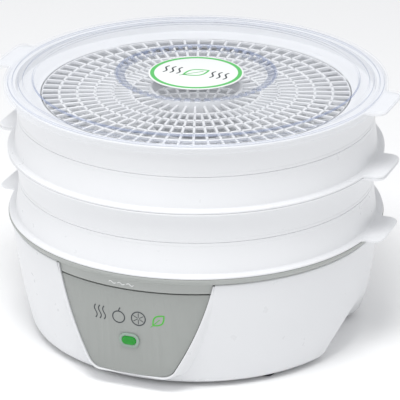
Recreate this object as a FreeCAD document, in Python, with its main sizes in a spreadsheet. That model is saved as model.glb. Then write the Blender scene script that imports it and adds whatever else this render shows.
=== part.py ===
"""A round food dehydrator: a white base with a fan and a heater, four reversible trays, and a clear lid.

Millimetres, +Z up. The origin is on the surface that the rubber feet stand on, on the axis of the stack.
The grey front panel faces -Y, and the lifting tabs of the trays and the lid point to +X and -X.
"""

import FreeCAD, Part
import math
import os
import Sketcher

Vector = FreeCAD.Vector
TINY = 1e-9

# name of the size, its value in millimetres (or degrees, or a count), what it measures
DRIVING_SIZES = [
    ("shell_top_radius", 158.5, "outside of the shell at its top edge"),
    ("shell_foot_radius", 143.4, "outside of the shell where the bottom edge starts to round"),
    ("shell_base_radius", 136.5, "outside of the flat ring that the shell ends in"),
    ("shell_top_level", 100.0, "height of the shell's top edge"),
    ("shell_foot_level", 9.0, "height where the bottom edge starts to round"),
    ("shell_base_level", 3.0, "height of the underside of the shell"),
    ("shell_side_bulge", 560.0, "radius of the gentle curve of the side"),
    ("shell_edge_round", 9.5, "radius of the rounded bottom edge"),
    ("shell_wall", 2.8, "wall of the shell"),
    ("shell_opening_radius", 118.0, "opening in the bottom of the shell"),
    ("grip_foot_radius", 116.0, "how far in each hand grip cuts at the underside"),
    ("grip_slope", 44.0, "slope of the grip from the vertical"),
    ("grip_scoop", 103.0, "radius of the scoop that makes a grip"),
    ("window_top_half", 70.2, "half the width of the front window, drawn on to above the shell"),
    ("window_overrun", 10.0, "how far the window's outline is drawn on above the shell"),
    ("window_foot_half", 38.5, "half the width of the front window above its lower corners"),
    ("window_foot_level", 14.5, "lower edge of the front window"),
    ("window_side_bulge", 270.0, "radius of the gentle curve of the window's sides"),
    ("window_corner", 12.4, "radius of the window's lower corners"),
    ("window_corner_width", 10.5, "width of a lower corner"),
    ("window_corner_height", 7.0, "height of a lower corner"),
    ("window_waist_level", 91.0, "height where the panel ends and the deck's apron starts"),
    ("frame_top_radius", 157.6, "face of the raised frame round the window, at the top"),
    ("frame_foot_radius", 156.4, "face of that frame at its foot"),
    ("frame_width", 4.5, "width of the frame beside the window"),
    ("frame_lip", 2.3, "height of the frame under the window"),
    ("frame_drop", 0.3, "how far the frame ends below the shell's top edge"),
    ("panel_recess", 1.6, "how deep the panel lies behind the frame"),
    ("panel_wall", 2.4, "wall of the panel"),
    ("panel_groove", 1.2, "open line between the panel and the deck's apron"),
    ("panel_play", 0.4, "gap between the panel and the window"),
    ("deck_rim_radius", 161.8, "widest radius of the grey rim that carries the trays"),
    ("deck_rim_level", 106.3, "height of the face that carries the trays"),
    ("deck_floor_level", 99.6, "top of the deck's floor"),
    ("deck_wall", 2.6, "thickness of the deck's floor"),
    ("deck_seat_gap", 0.4, "open line between the shell's top edge and the deck"),
    ("deck_skirt", 4.2, "how far the deck's skirt reaches down into the shell"),
    ("deck_play", 1.0, "clearance of that skirt inside the shell"),
    ("deck_well_radius", 149.0, "inner edge of the face that carries the trays"),
    ("deck_slope_radius", 147.0, "foot of the slope down to the deck's floor"),
    ("deck_ribs", 12, "ribs under the deck's floor"),
    ("deck_rib_start", 68.5, "inner end of a rib"),
    ("deck_rib_wall", 1.8, "thickness of a rib"),
    ("deck_rib_height", 4.0, "height of a rib"),
    ("deck_collar_radius", 56.2, "outside of the collar round the air outlet"),
    ("deck_collar_level", 105.2, "top of that collar"),
    ("outlet_radius", 53.8, "air outlet in the deck"),
    ("post_place_radius", 105.0, "circle of the four long screw posts"),
    ("post_radius", 4.6, "outside of a screw post"),
    ("pilot_radius", 1.7, "screw hole in a post"),
    ("screw_radius", 1.5, "shank of a screw"),
    ("screw_head_radius", 3.2, "head of a screw"),
    ("screw_head_height", 1.0, "height of a screw's head"),
    ("cover_radius", 120.0, "bottom cover"),
    ("cover_level", 1.2, "underside of the bottom cover"),
    ("cover_wall", 1.8, "thickness of the bottom cover"),
    ("inlet_start_radius", 24.0, "inner edge of the innermost air slots in the cover"),
    ("inlet_pitch", 9.0, "distance between the rows of air slots"),
    ("inlet_width", 5.0, "radial width of an air slot"),
    ("foot_radius", 7.5, "rubber foot"),
    ("foot_place_radius", 128.5, "circle of the feet"),
    ("foot_angle", 48.0, "angle of the front feet from the front"),
    ("tray_pitch", 28.8, "height that one tray adds to the stack"),
    ("tray_gap", 0.2, "clearance between stacked pieces"),
    ("tray_flange_radius", 161.3, "outside of a tray's flange"),
    ("tray_wide_radius", 155.3, "outside of a tray's wall at the flange"),
    ("tray_narrow_radius", 152.0, "outside of a tray's wall at the narrow end"),
    ("tray_wall", 2.2, "wall of a tray"),
    ("tray_flange_wall", 2.0, "thickness of a tray's flange"),
    ("tray_floor_level", 10.5, "distance from the flange face to the floor"),
    ("tray_floor_wall", 2.5, "thickness of the floor grid"),
    ("tray_split_radius", 149.7, "border between a tray's rim and its grid floor"),
    ("tray_bead", 0.5, "how far the bead at the narrow end stands out"),
    ("grid_outer_radius", 131.0, "outer edge of the open grid"),
    ("grid_ring_pitch", 15.2, "distance between the rings of the grid"),
    ("grid_ring_wall", 2.2, "width of a ring of the grid"),
    ("grid_bar_wall", 2.2, "width of a radial bar of the grid"),
    ("grid_bars", 64, "radial bars of the outer grid"),
    ("grid_inner_bars", 32, "radial bars of the innermost row"),
    ("hub_radius", 39.5, "outside of the collar round the tray's air hole"),
    ("hub_hole_radius", 37.0, "air hole of the tray"),
    ("hub_overhang", 4.0, "how far the collar stands out of the floor on each side"),
    ("peg_place_radius", 145.4, "circle of the locating pegs"),
    ("peg_boss_radius", 4.2, "boss that carries a peg or a socket"),
    ("peg_radius", 1.8, "locating peg"),
    ("socket_radius", 2.2, "socket for a peg"),
    ("peg_height", 3.0, "height of a peg"),
    ("peg_angle", 60.0, "angle of the pegs from the side"),
    ("tab_reach", 175.5, "distance from the axis to the end of a lifting tab"),
    ("tab_half_width", 27.0, "half the width of a lifting tab"),
    ("tab_corner", 9.0, "rounded corners of a tab"),
    ("lid_radius", 163.4, "outside of the lid's skirt"),
    ("lid_wall", 1.8, "wall of the lid"),
    ("lid_skirt", 4.6, "how far the skirt reaches down over the top tray"),
    ("lid_step_radius", 142.0, "foot of the step that starts the dome"),
    ("lid_dome_radius", 136.0, "top of that step"),
    ("lid_dome_rise", 1.8, "height of that step"),
    ("lid_crest_radius", 69.0, "crest of the dome"),
    ("lid_crest_rise", 5.4, "height of the crest above the flange"),
    ("lid_dish_radius", 65.4, "recessed dish inside the crest"),
    ("lid_dish_drop", 2.6, "depth of the dish below the crest"),
    ("lid_vents", 50, "number of vents round the dish"),
    ("lid_vent_length", 6.4, "radial length of a vent"),
    ("lid_vent_width", 4.6, "width of a vent"),
    ("label_radius", 40.5, "round medallion in the dish"),
    ("label_wall", 0.8, "thickness of the medallion"),
    ("lamp_radius", 155.3, "panel's face at the indicator"),
    ("lamp_level", 45.6, "height of the indicator"),
    ("lamp_tilt", 0.8, "slope of the panel at the indicator"),
    ("bezel_length", 18.0, "width of the indicator's bezel"),
    ("bezel_height", 12.4, "height of the indicator's bezel"),
    ("lens_length", 12.6, "width of the indicator's lens"),
    ("lens_height", 7.2, "height of the indicator's lens"),
    ("duct_radius", 62.2, "outside of the air duct"),
    ("duct_wall", 0.8, "sheet of the air duct"),
    ("duct_foot_level", 46.0, "lower edge of the air duct"),
    ("heater_ring_radius", 43.0, "ring of the heating element"),
    ("heater_tube_radius", 3.2, "tube of the heating element"),
    ("heater_level", 80.0, "height of the heating element"),
    ("shaft_radius", 2.0, "motor shaft"),
    ("shaft_play", 0.05, "radial clearance of the shaft in its bearings"),
    ("fan_radius", 57.0, "tips of the fan blades"),
    ("fan_hub_radius", 13.0, "hub of the fan"),
    ("fan_level", 52.0, "underside of the fan"),
    ("fan_height", 13.0, "height of the fan"),
    ("fan_blades", 7, "blades of the fan"),
    ("fan_pitch", 34.0, "slope of a blade"),
    ("motor_post_place", 66.0, "circle of the three posts that carry the motor"),
    ("motor_plate_level", 14.0, "underside of the motor's bracket"),
    ("motor_plate_wall", 1.6, "sheet of the motor's bracket"),
    ("motor_disc_radius", 20.0, "disc in the middle of that bracket"),
    ("motor_arm_width", 12.0, "width of the bracket's arms"),
    ("motor_screw_place", 17.5, "distance of the motor's screws from the axis"),
    ("bearing_bar_length", 42.0, "length of the two bearing brackets"),
    ("bearing_wall", 4.0, "thickness of the upper bearing bracket"),
    ("bearing_boss_radius", 5.0, "boss round a bearing"),
    ("bearing_boss_height", 1.5, "how far that boss stands out"),
    ("limb_width", 10.0, "width of the limbs of the laminated core"),
    ("stator_level", 22.0, "underside of the motor's laminated core"),
    ("stator_height", 16.0, "height of the laminated core"),
    ("stator_half_width", 23.0, "half the width of the laminated core"),
    ("stator_front", 19.0, "near side of the laminated core, in front of the axis"),
    ("stator_back", 42.0, "far side of the limb that carries the coil"),
    ("rotor_core_radius", 12.6, "rotor core"),
    ("stator_bore_radius", 13.1, "bore of the laminated core"),
    ("lead_radius", 1.2, "insulated lead"),
    ("grille_wall", 2.6, "height of the outlet grille"),
    ("grille_bar", 2.0, "width of the grille's bars and hoops"),
    ("grille_hoop_start", 17.5, "radius of the innermost hoop"),
    ("grille_hoop_pitch", 8.2, "distance between the hoops"),
    ("grille_spokes", 12, "bars of the grille"),
    ("gland_level", 22.0, "height of the cord inlet"),
    ("gland_wall_place", 146.4, "outside of the shell at the cord inlet"),
    ("gland_sleeve_radius", 6.0, "sleeve of the cord inlet"),
    ("gland_collar_radius", 8.4, "collar of the cord inlet"),
    ("gland_nut_radius", 8.0, "nut of the cord inlet"),
    ("gland_hole_radius", 3.6, "way through the cord inlet"),
]


class Size:
    """A length that carries its number and the expression that binds a property to the sheet."""

    def __init__(self, value, words):
        self.value = value
        self.words = words

    def __add__(self, other):
        other = as_size(other)
        return Size(self.value + other.value, f"({self.words} + {other.words})")

    def __sub__(self, other):
        other = as_size(other)
        return Size(self.value - other.value, f"({self.words} - {other.words})")

    def __mul__(self, other):
        other = as_size(other)
        return Size(self.value * other.value, f"({self.words} * {other.words})")

    def __truediv__(self, other):
        other = as_size(other)
        return Size(self.value / other.value, f"({self.words} / {other.words})")

    def __neg__(self):
        return Size(-self.value, f"(0 - {self.words})")


def as_size(number):
    """A plain number as a Size, so that the two mix in arithmetic."""
    if isinstance(number, Size):
        return number
    return Size(float(number), f"({number})")


doc = FreeCAD.newDocument("dehydrator")
sheet = doc.addObject("Spreadsheet::Sheet", "Sizes")


class Sizes:
    """Every driving size of the sheet, by its alias."""


sizes = Sizes()
for row, (alias, value, meaning) in enumerate(DRIVING_SIZES, start=1):
    sheet.set(f"A{row}", alias)
    sheet.set(f"B{row}", str(value))
    sheet.set(f"C{row}", meaning)
    sheet.setAlias(f"B{row}", alias)
    setattr(sizes, alias, Size(float(value), f"Sizes.{alias}"))
doc.recompute()

GRIP_TOOL_LENGTH = 400
EIGHTH = 45
BEYOND = 1
PRESSED_IN = 0.05

sub_parts = []


def keep(thing, label):
    """Names a finished sub-part, which is then written to a file of that name."""
    thing.Label = label
    sub_parts.append(thing)
    return thing


def bind(thing, **values):
    """Sets properties of an object and ties each to the sheet."""
    for name, size in values.items():
        size = as_size(size)
        setattr(thing, name, size.value)
        thing.setExpression(name, size.words)
    return thing


def place(thing, x=0, y=0, z=0, turn=None):
    """Puts an object at a place given by sizes, after an optional turn about the object's own origin."""
    point = [as_size(number) for number in (x, y, z)]
    thing.Placement = FreeCAD.Placement(
        Vector(*[size.value for size in point]), turn or FreeCAD.Rotation()
    )
    for axis, size in zip("xyz", point):
        thing.setExpression(f"Placement.Base.{axis}", size.words)
    return thing


def turned(axis, angle):
    """A rotation about an axis, by an angle in degrees."""
    return FreeCAD.Rotation(axis, as_size(angle).value)


# ---------------------------------------------------------------- sketches and features


def new_body(name):
    return doc.addObject("PartDesign::Body", name)


def datum(body, role):
    """One of the body's own origin planes or axes."""
    return next(item for item in body.Origin.OriginFeatures if item.Role == role)


def new_sketch(body, name, plane, lift=0):
    """A sketch on one of the body's origin planes, lifted along the plane's normal."""
    sketch = body.newObject("Sketcher::SketchObject", name)
    sketch.AttachmentSupport = [(datum(body, plane), "")]
    sketch.MapMode = "FlatFace"
    lift = as_size(lift)
    sketch.AttachmentOffset = FreeCAD.Placement(Vector(0, 0, lift.value), FreeCAD.Rotation())
    sketch.setExpression("AttachmentOffset.Base.z", lift.words)
    return sketch


def fix(sketch, kind, *where, size):
    """Adds a dimension to a sketch and ties it to the sheet."""
    index = sketch.addConstraint(Sketcher.Constraint(kind, *where, size.value))
    sketch.setExpression(f"Constraints[{index}]", size.words)


def fix_point(sketch, curve, end, point):
    """Dimensions one end of a curve from the sketch's origin."""
    across, up = point
    if abs(across.value) < TINY:
        sketch.addConstraint(Sketcher.Constraint("PointOnObject", curve, end, -2))
    else:
        fix(sketch, "DistanceX", -1, 1, curve, end, size=across)
    if abs(up.value) < TINY:
        sketch.addConstraint(Sketcher.Constraint("PointOnObject", curve, end, -1))
    else:
        fix(sketch, "DistanceY", -1, 1, curve, end, size=up)


def draw_loop(sketch, corners, arcs=None):
    """A closed outline through corners. arcs says which runs are arcs: run number to (radius, side).

    side is +1 where the arc bulges to the left of the run and -1 where it bulges to the right.
    """
    arcs = arcs or {}
    points = [(as_size(across), as_size(up)) for across, up in corners]
    flat = [Vector(across.value, up.value, 0) for across, up in points]
    count = len(points)
    ends = []
    for run in range(count):
        start, end = flat[run], flat[(run + 1) % count]
        if run in arcs:
            radius, side = arcs[run]
            radius = as_size(radius)
            chord = end - start
            left = Vector(-chord.y, chord.x, 0).normalize()
            sagitta = radius.value - math.sqrt(radius.value**2 - (chord.Length / 2) ** 2)
            middle = (start + end) * 0.5 + left * (side * sagitta)
            curve = sketch.addGeometry(Part.Arc(start, middle, end))
            fix(sketch, "Radius", curve, size=radius)
        else:
            curve = sketch.addGeometry(Part.LineSegment(start, end))
        forwards = sketch.getPoint(curve, 1).distanceToPoint(start) < 1e-6
        ends.append((curve, (1, 2) if forwards else (2, 1)))
    for run in range(count):
        curve, (first, last) = ends[run]
        following, (next_first, _) = ends[(run + 1) % count]
        sketch.addConstraint(Sketcher.Constraint("Coincident", curve, last, following, next_first))
        fix_point(sketch, curve, first, points[run])


def draw_circle(sketch, radius, across=0, up=0):
    radius, across, up = as_size(radius), as_size(across), as_size(up)
    centre = Vector(across.value, up.value, 0)
    curve = sketch.addGeometry(Part.Circle(centre, Vector(0, 0, 1), radius.value))
    fix(sketch, "Radius", curve, size=radius)
    fix_point(sketch, curve, 3, (across, up))


def lathe(body, name, corners, arcs=None):
    """Turns an outline of (radius, height) corners about the Z axis."""
    sketch = new_sketch(body, name + "_outline", "XZ_Plane")
    draw_loop(sketch, corners, arcs)
    feature = body.newObject("PartDesign::Revolution", name)
    feature.Profile = sketch
    feature.ReferenceAxis = (sketch, ["V_Axis"])
    feature.Angle = 360
    return feature


def pad(body, sketch, name, length):
    feature = body.newObject("PartDesign::Pad", name)
    feature.Profile = sketch
    bind(feature, Length=length)
    return feature


def pocket(body, sketch, name, length):
    """Cuts along the sketch's normal, away from its origin plane. It fails if nothing is cut."""
    doc.recompute()
    before = body.Shape.Volume
    feature = body.newObject("PartDesign::Pocket", name)
    feature.Profile = sketch
    feature.Reversed = True
    bind(feature, Length=length)
    doc.recompute()
    if body.Shape.Volume > before - 1e-3:
        raise RuntimeError(f"{name} cuts nothing out of {body.Name}")
    return feature


def repeat_round(body, features, name, count):
    """Repeats features evenly round the Z axis."""
    pattern = body.newObject("PartDesign::PolarPattern", name)
    pattern.Originals = features
    pattern.Axis = (datum(body, "Z_Axis"), [""])
    pattern.Angle = 360
    count = as_size(count)
    pattern.Occurrences = int(count.value)
    pattern.setExpression("Occurrences", count.words)
    pattern.Refine = False
    body.Tip = pattern
    return pattern


def box(name, corner, lengths, turn=None):
    """A block from its lowest corner and its three lengths."""
    block = doc.addObject("Part::Box", name)
    bind(block, Length=lengths[0], Width=lengths[1], Height=lengths[2])
    return place(block, *corner, turn=turn)


def cylinder(name, radius, height, centre, turn=None):
    rod = doc.addObject("Part::Cylinder", name)
    bind(rod, Radius=radius, Height=height)
    return place(rod, *centre, turn=turn)


def cut(name, base, tool):
    result = doc.addObject("Part::Cut", name)
    result.Base = base
    result.Tool = tool
    return result


def fuse(name, pieces):
    result = doc.addObject("Part::MultiFuse", name)
    result.Shapes = pieces
    return result


def common(name, first, second):
    result = doc.addObject("Part::Common", name)
    result.Base = first
    result.Tool = second
    return result


def group(name, pieces):
    """Identical pieces kept together as separate solids."""
    result = doc.addObject("Part::Compound", name)
    result.Links = pieces
    return result


def on_circle(radius, angle):
    """A point at an angle from the front, turning towards +X, as two sizes."""
    radius, angle = as_size(radius), as_size(angle)
    turn = math.radians(angle.value)
    across = Size(radius.value * math.sin(turn), f"({radius.words} * sin({angle.words} * 1 deg))")
    along = Size(-radius.value * math.cos(turn), f"(0 - {radius.words} * cos({angle.words} * 1 deg))")
    return across, along


# ---------------------------------------------------------------- the white shell of the base


def shell_blank(name, inset, top_rise, base_rise, hole):
    """A solid of the shell's outside, or, set in by the wall, of its inside."""
    body = new_body(name)
    base = sizes.shell_base_level + base_rise
    corners = [
        (hole, base),
        (sizes.shell_base_radius - inset, base),
        (sizes.shell_foot_radius - inset, sizes.shell_foot_level),
        (sizes.shell_top_radius - inset, sizes.shell_top_level + top_rise),
        (hole, sizes.shell_top_level + top_rise),
    ]
    arcs = {1: (sizes.shell_edge_round, -1), 2: (sizes.shell_side_bulge, -1)}
    lathe(body, name + "_solid", corners, arcs)
    return body


def grip_scoop(name, side, inset):
    """A leaning cylinder whose face makes one hand grip; side is +1 at +X and -1 at -X."""
    radius = sizes.grip_scoop + inset
    scoop = doc.addObject("Part::Cylinder", name)
    bind(scoop, Radius=radius, Height=GRIP_TOOL_LENGTH)
    lean = turned(Vector(0, 1, 0), sizes.grip_slope * side)
    slope = math.cos(math.radians(sizes.grip_slope.value))
    foot = sizes.grip_foot_radius + sizes.grip_scoop / slope
    centre = Vector(side * foot.value, 0, sizes.shell_base_level.value)
    centred = FreeCAD.Placement(Vector(0, 0, -GRIP_TOOL_LENGTH / 2), FreeCAD.Rotation())
    scoop.Placement = FreeCAD.Placement(centre, lean) * centred
    return scoop


def window_prism(name, play, foot_play=None):
    """A block pointing to the front, with the outline of the front window drawn in by some play."""
    foot_play = play if foot_play is None else foot_play
    foot = sizes.window_foot_level + foot_play
    top = sizes.shell_top_level + sizes.window_overrun
    body = new_body(name)
    sketch = new_sketch(body, name + "_outline", "XZ_Plane")
    half_top = sizes.window_top_half - play
    half_foot = sizes.window_foot_half - play
    corner_level = foot + sizes.window_corner_height
    corners = [
        (-half_top, top),
        (-half_foot, corner_level),
        (-half_foot + sizes.window_corner_width, foot),
        (half_foot - sizes.window_corner_width, foot),
        (half_foot, corner_level),
        (half_top, top),
    ]
    side, corner = (sizes.window_side_bulge, -1), (sizes.window_corner, -1)
    draw_loop(sketch, corners, {0: side, 1: corner, 3: corner, 4: side})
    pad(body, sketch, name + "_block", sizes.shell_top_radius + 20)
    return body


def face_ring(name, inset, wall):
    """An upright ring that follows the frame's face, set in behind it."""
    body = new_body(name)
    inner = inset + wall
    foot, top = sizes.shell_foot_level, sizes.shell_top_level + 0.6
    corners = [
        (sizes.frame_foot_radius - inner, foot),
        (sizes.frame_foot_radius - inset, foot),
        (sizes.frame_top_radius - inset, top),
        (sizes.frame_top_radius - inner, top),
    ]
    lathe(body, name + "_solid", corners)
    return body


def frame_ring(name):
    """A ring from inside the shell's wall out to the frame's face."""
    body = new_body(name)
    buried = sizes.shell_wall / 2
    foot, top = sizes.shell_foot_level, sizes.shell_top_level - sizes.frame_drop
    corners = [
        (sizes.shell_foot_radius - buried, foot),
        (sizes.frame_foot_radius, foot),
        (sizes.frame_top_radius, top),
        (sizes.shell_top_radius - buried, top),
    ]
    lathe(body, name + "_solid", corners, {3: (sizes.shell_side_bulge, 1)})
    return body


def make_shell():
    outside = shell_blank("shell_outside", 0, 0, 0, sizes.shell_opening_radius)
    inside = shell_blank("shell_inside", sizes.shell_wall, 0.1, sizes.shell_wall, 0)
    for side, word in ((1, "right"), (-1, "left")):
        outside = cut(f"shell_{word}_grip", outside, grip_scoop(f"{word}_grip_scoop", side, 0))
        inside = cut(f"cavity_{word}_grip", inside, grip_scoop(f"{word}_grip_core", side, sizes.shell_wall))
    walls = cut("shell_walls", outside, inside)
    outline = window_prism("frame_outline", -sizes.frame_width, -sizes.frame_lip)
    frame = common("shell_frame", frame_ring("frame_blank"), outline)
    framed = fuse("shell_framed", [walls, frame])
    notched = cut("shell_notched", framed, window_prism("shell_window", 0))
    start = (0, sizes.shell_base_radius - 10, sizes.gland_level)
    hole_radius = sizes.gland_sleeve_radius + 0.2
    inlet = cylinder("shell_inlet_hole", hole_radius, 40, start, turned(Vector(1, 0, 0), -90))
    keep(cut("base_shell", notched, inlet), "base_shell")


# ---------------------------------------------------------------- the grey deck and front panel


def front_block(name, low, height):
    """A block over the whole width of the front window, between two heights."""
    return box(name, (-80, -170, low), (160, 60, height))


def make_deck():
    body = new_body("deck_body")
    rim, floor, wall = sizes.deck_rim_level, sizes.deck_floor_level, sizes.deck_wall
    seat = sizes.shell_top_level + sizes.deck_seat_gap
    hem = seat - sizes.deck_skirt
    skirt_inside = sizes.deck_well_radius + 3.4
    skirt_outside = sizes.shell_top_radius - sizes.shell_wall - sizes.deck_play
    corners = [
        (sizes.shell_top_radius - 0.3, seat),
        (sizes.deck_rim_radius, rim - 1.5),
        (sizes.deck_rim_radius, rim),
        (sizes.deck_well_radius, rim),
        (sizes.deck_slope_radius, floor),
        (sizes.deck_collar_radius, floor),
        (sizes.deck_collar_radius, sizes.deck_collar_level),
        (sizes.outlet_radius, sizes.deck_collar_level),
        (sizes.outlet_radius, floor - wall),
        (sizes.deck_slope_radius + 2.4, floor - wall),
        (sizes.deck_well_radius + 2.2, rim - wall),
        (skirt_inside, rim - wall),
        (skirt_inside, hem),
        (skirt_outside, hem),
        (skirt_outside, seat),
    ]
    lathe(body, "deck_turning", corners)
    post_foot = sizes.cover_level + sizes.cover_wall + 0.1
    posts = new_sketch(body, "deck_posts_outline", "XY_Plane", post_foot)
    across, along = on_circle(sizes.post_place_radius, 45)
    draw_circle(posts, sizes.post_radius, across, along)
    draw_circle(posts, sizes.pilot_radius, across, along)
    post = pad(body, posts, "deck_post", floor - wall - post_foot + 0.5)
    repeat_round(body, [post], "deck_posts", 4)
    tall = sizes.deck_rib_height
    ribs = new_sketch(body, "deck_rib_outline", "XY_Plane", floor - wall - tall)
    start, end, half = sizes.deck_rib_start, sizes.deck_well_radius, sizes.deck_rib_wall / 2
    draw_loop(ribs, [(start, -half), (end, -half), (end, half), (start, half)])
    rib = pad(body, ribs, "deck_rib", tall + 0.3)
    repeat_round(body, [rib], "deck_ribs", sizes.deck_ribs)
    apron_ring = face_ring("apron_ring", sizes.panel_recess, sizes.panel_wall)
    apron_window = window_prism("apron_window", sizes.panel_play)
    full_apron = common("apron_full_height", apron_ring, apron_window)
    above = sizes.window_waist_level + sizes.panel_groove / 2
    apron = common("deck_apron", full_apron, front_block("apron_reach", above, 12))
    keep(fuse("deck", [body, apron]), "deck")


def make_panel():
    ring = face_ring("panel_ring", sizes.panel_recess, sizes.panel_wall)
    window = window_prism("panel_window", sizes.panel_play)
    below = sizes.window_waist_level - sizes.panel_groove / 2
    full_plate = common("panel_full_height", ring, window)
    plate = common("panel_plate", full_plate, front_block("panel_reach", 0, below))
    hole = lamp_pill("panel_lamp_hole", sizes.bezel_length - 3.0, sizes.bezel_height - 3.0, -12, 24)
    keep(cut("front_panel", plate, hole), "front_panel")


# ---------------------------------------------------------------- the indicator


def lamp_pill(name, length, height, start, depth, hollow=None):
    """A pill-shaped block square to the panel at the indicator; start is its outer face."""
    body = new_body(name)
    sketch = new_sketch(body, name + "_outline", "XZ_Plane", start)
    outlines = [(length, height)]
    if hollow:
        outlines.append(hollow)
    for long_side, short_side in outlines:
        half = as_size(short_side) / 2
        reach = as_size(long_side) / 2 - half
        corners = [(-reach, half), (-reach, -half), (reach, -half), (reach, half)]
        draw_loop(sketch, corners, {0: (half * 1.0001, -1), 2: (half * 1.0001, -1)})
    pad(body, sketch, name + "_block", depth)
    leaning = turned(Vector(1, 0, 0), sizes.lamp_tilt)
    return place(body, 0, -sizes.lamp_radius, sizes.lamp_level, leaning)


def make_indicator():
    length, height = sizes.bezel_length, sizes.bezel_height
    hollow = (sizes.lens_length + 0.3, sizes.lens_height + 0.3)
    rim = lamp_pill("bezel_rim", length, height, 0, 1.4, hollow)
    sleeve = lamp_pill("bezel_sleeve", length - 3.4, height - 3.4, -6.0, 6.5, hollow)
    keep(fuse("indicator_bezel", [rim, sleeve]), "indicator_bezel")
    lens = lamp_pill("indicator_lens", sizes.lens_length, sizes.lens_height, -4.0, 6.2)
    keep(lens, "indicator_lens")
    board = box("board_blank", (-13, 12, -9), (26, 1.6, 18))
    lamp = cylinder("led_body", 2.5, 5.0, (0, 11.98, 0), turned(Vector(1, 0, 0), 90))
    centre = Vector(0, -sizes.lamp_radius.value, sizes.lamp_level.value)
    square_to_panel = FreeCAD.Placement(centre, turned(Vector(1, 0, 0), sizes.lamp_tilt))
    for thing, label in ((board, "indicator_board"), (lamp, "indicator_led")):
        for axis in "xyz":
            thing.setExpression(f"Placement.Base.{axis}", None)
        thing.Placement = square_to_panel * thing.Placement
        keep(thing, label)


# ---------------------------------------------------------------- the closed bottom


def make_bottom_cover():
    body = new_body("bottom_cover")
    low, wall = sizes.cover_level, sizes.cover_wall
    spigot = sizes.shell_opening_radius - 0.4
    corners = [
        (0, low),
        (sizes.cover_radius, low),
        (sizes.cover_radius, low + wall),
        (spigot, low + wall),
        (spigot, low + wall + 3.0),
        (spigot - 1.8, low + wall + 3.0),
        (spigot - 1.8, low + wall),
        (0, low + wall),
    ]
    lathe(body, "cover_turning", corners)
    posts = new_sketch(body, "cover_post_outline", "XY_Plane", low + wall - 0.2)
    across, along = on_circle(sizes.motor_post_place, 60)
    draw_circle(posts, 4.0, across, along)
    draw_circle(posts, sizes.pilot_radius, across, along)
    post = pad(body, posts, "cover_post", sizes.motor_plate_level - low - wall + 0.2)
    repeat_round(body, [post], "cover_posts", 3)
    slots = new_sketch(body, "inlet_outline", "XY_Plane", low - BEYOND)
    width = sizes.inlet_width.value
    for row in range(4):
        inner = sizes.inlet_start_radius.value + sizes.inlet_pitch.value * row
        outer = inner + width
        half = math.radians(30) - 3.0 / (inner + width / 2)
        corners = []
        for radius, angle in ((inner, -half), (outer, -half), (outer, half), (inner, half)):
            corners.append((radius * math.cos(angle), radius * math.sin(angle)))
        draw_loop(slots, corners, {1: (outer, -1), 3: (inner, 1)})
    slot = pocket(body, slots, "inlet", wall + 2 * BEYOND)
    repeat_round(body, [slot], "inlets", 6)
    holes = new_sketch(body, "cover_screw_outline", "XY_Plane", low - BEYOND)
    across, along = on_circle(sizes.post_place_radius, 45)
    draw_circle(holes, sizes.pilot_radius, across, along)
    hole = pocket(body, holes, "cover_screw_hole", wall + 2 * BEYOND)
    repeat_round(body, [hole], "cover_screw_holes", 4)
    keep(body, "bottom_cover")


def screw(name, x, y, level, length, up=True):
    """A pan-head screw with its head against a face at some level; up says that its shank points up."""
    head_height = sizes.screw_head_height
    level = as_size(level)
    if up:
        head_low, shank_low = level - head_height, level - PRESSED_IN
    else:
        head_low, shank_low = level, level - length + PRESSED_IN
    head = cylinder(name + "_head", sizes.screw_head_radius, head_height, (x, y, head_low))
    shank = cylinder(name + "_shank", sizes.screw_radius, length, (x, y, shank_low))
    return fuse(name, [head, shank])


def make_fasteners_and_feet():
    screws = []
    for number in range(4):
        across, along = on_circle(sizes.post_place_radius, 45 + 90 * number)
        screws.append(screw(f"cover_screw_{number + 1}", across, along, sizes.cover_level, 18))
    keep(group("cover_screws", screws), "cover_screws")
    feet = []
    for number, angle in enumerate((sizes.foot_angle, -sizes.foot_angle)):
        for behind in (0, 1):
            bearing = as_size(180) - angle if behind else angle
            across, along = on_circle(sizes.foot_place_radius, bearing)
            foot = doc.addObject("Part::Cone", f"foot_{number}_{behind}")
            bind(foot, Radius1=sizes.foot_radius - 0.8, Radius2=sizes.foot_radius)
            bind(foot, Height=sizes.shell_base_level)
            feet.append(place(foot, across, along, 0))
    keep(group("rubber_feet", feet), "rubber_feet")


# ---------------------------------------------------------------- the motor and the fan


def make_motor_bracket():
    """A sheet star with a disc in the middle and three arms out to the posts."""
    low, wall = sizes.motor_plate_level, sizes.motor_plate_wall
    place_radius, half = sizes.motor_post_place, sizes.motor_arm_width / 2
    plate = new_body("motor_plate")
    disc = new_sketch(plate, "motor_plate_outline", "XY_Plane", low)
    draw_circle(disc, sizes.motor_disc_radius)
    draw_circle(disc, 6.0)
    pad(plate, disc, "motor_plate_disc", wall)
    arm_sketch = new_sketch(plate, "motor_arm_outline", "XY_Plane", low)
    root, tip = sizes.motor_disc_radius - 1, place_radius + 6
    draw_loop(arm_sketch, [(root, -half), (tip, -half), (tip, half), (root, half)])
    arm = pad(plate, arm_sketch, "motor_arm", wall)
    repeat_round(plate, [arm], "motor_arms", 3)
    hole_sketch = new_sketch(plate, "motor_hole_outline", "XY_Plane", low - BEYOND)
    draw_circle(hole_sketch, sizes.pilot_radius, place_radius, 0)
    hole = pocket(plate, hole_sketch, "motor_hole", wall + 2 * BEYOND)
    repeat_round(plate, [hole], "motor_holes", 3)
    plate.Placement = FreeCAD.Placement(Vector(), turned(Vector(0, 0, 1), -30))
    keep(plate, "motor_bracket")


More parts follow.
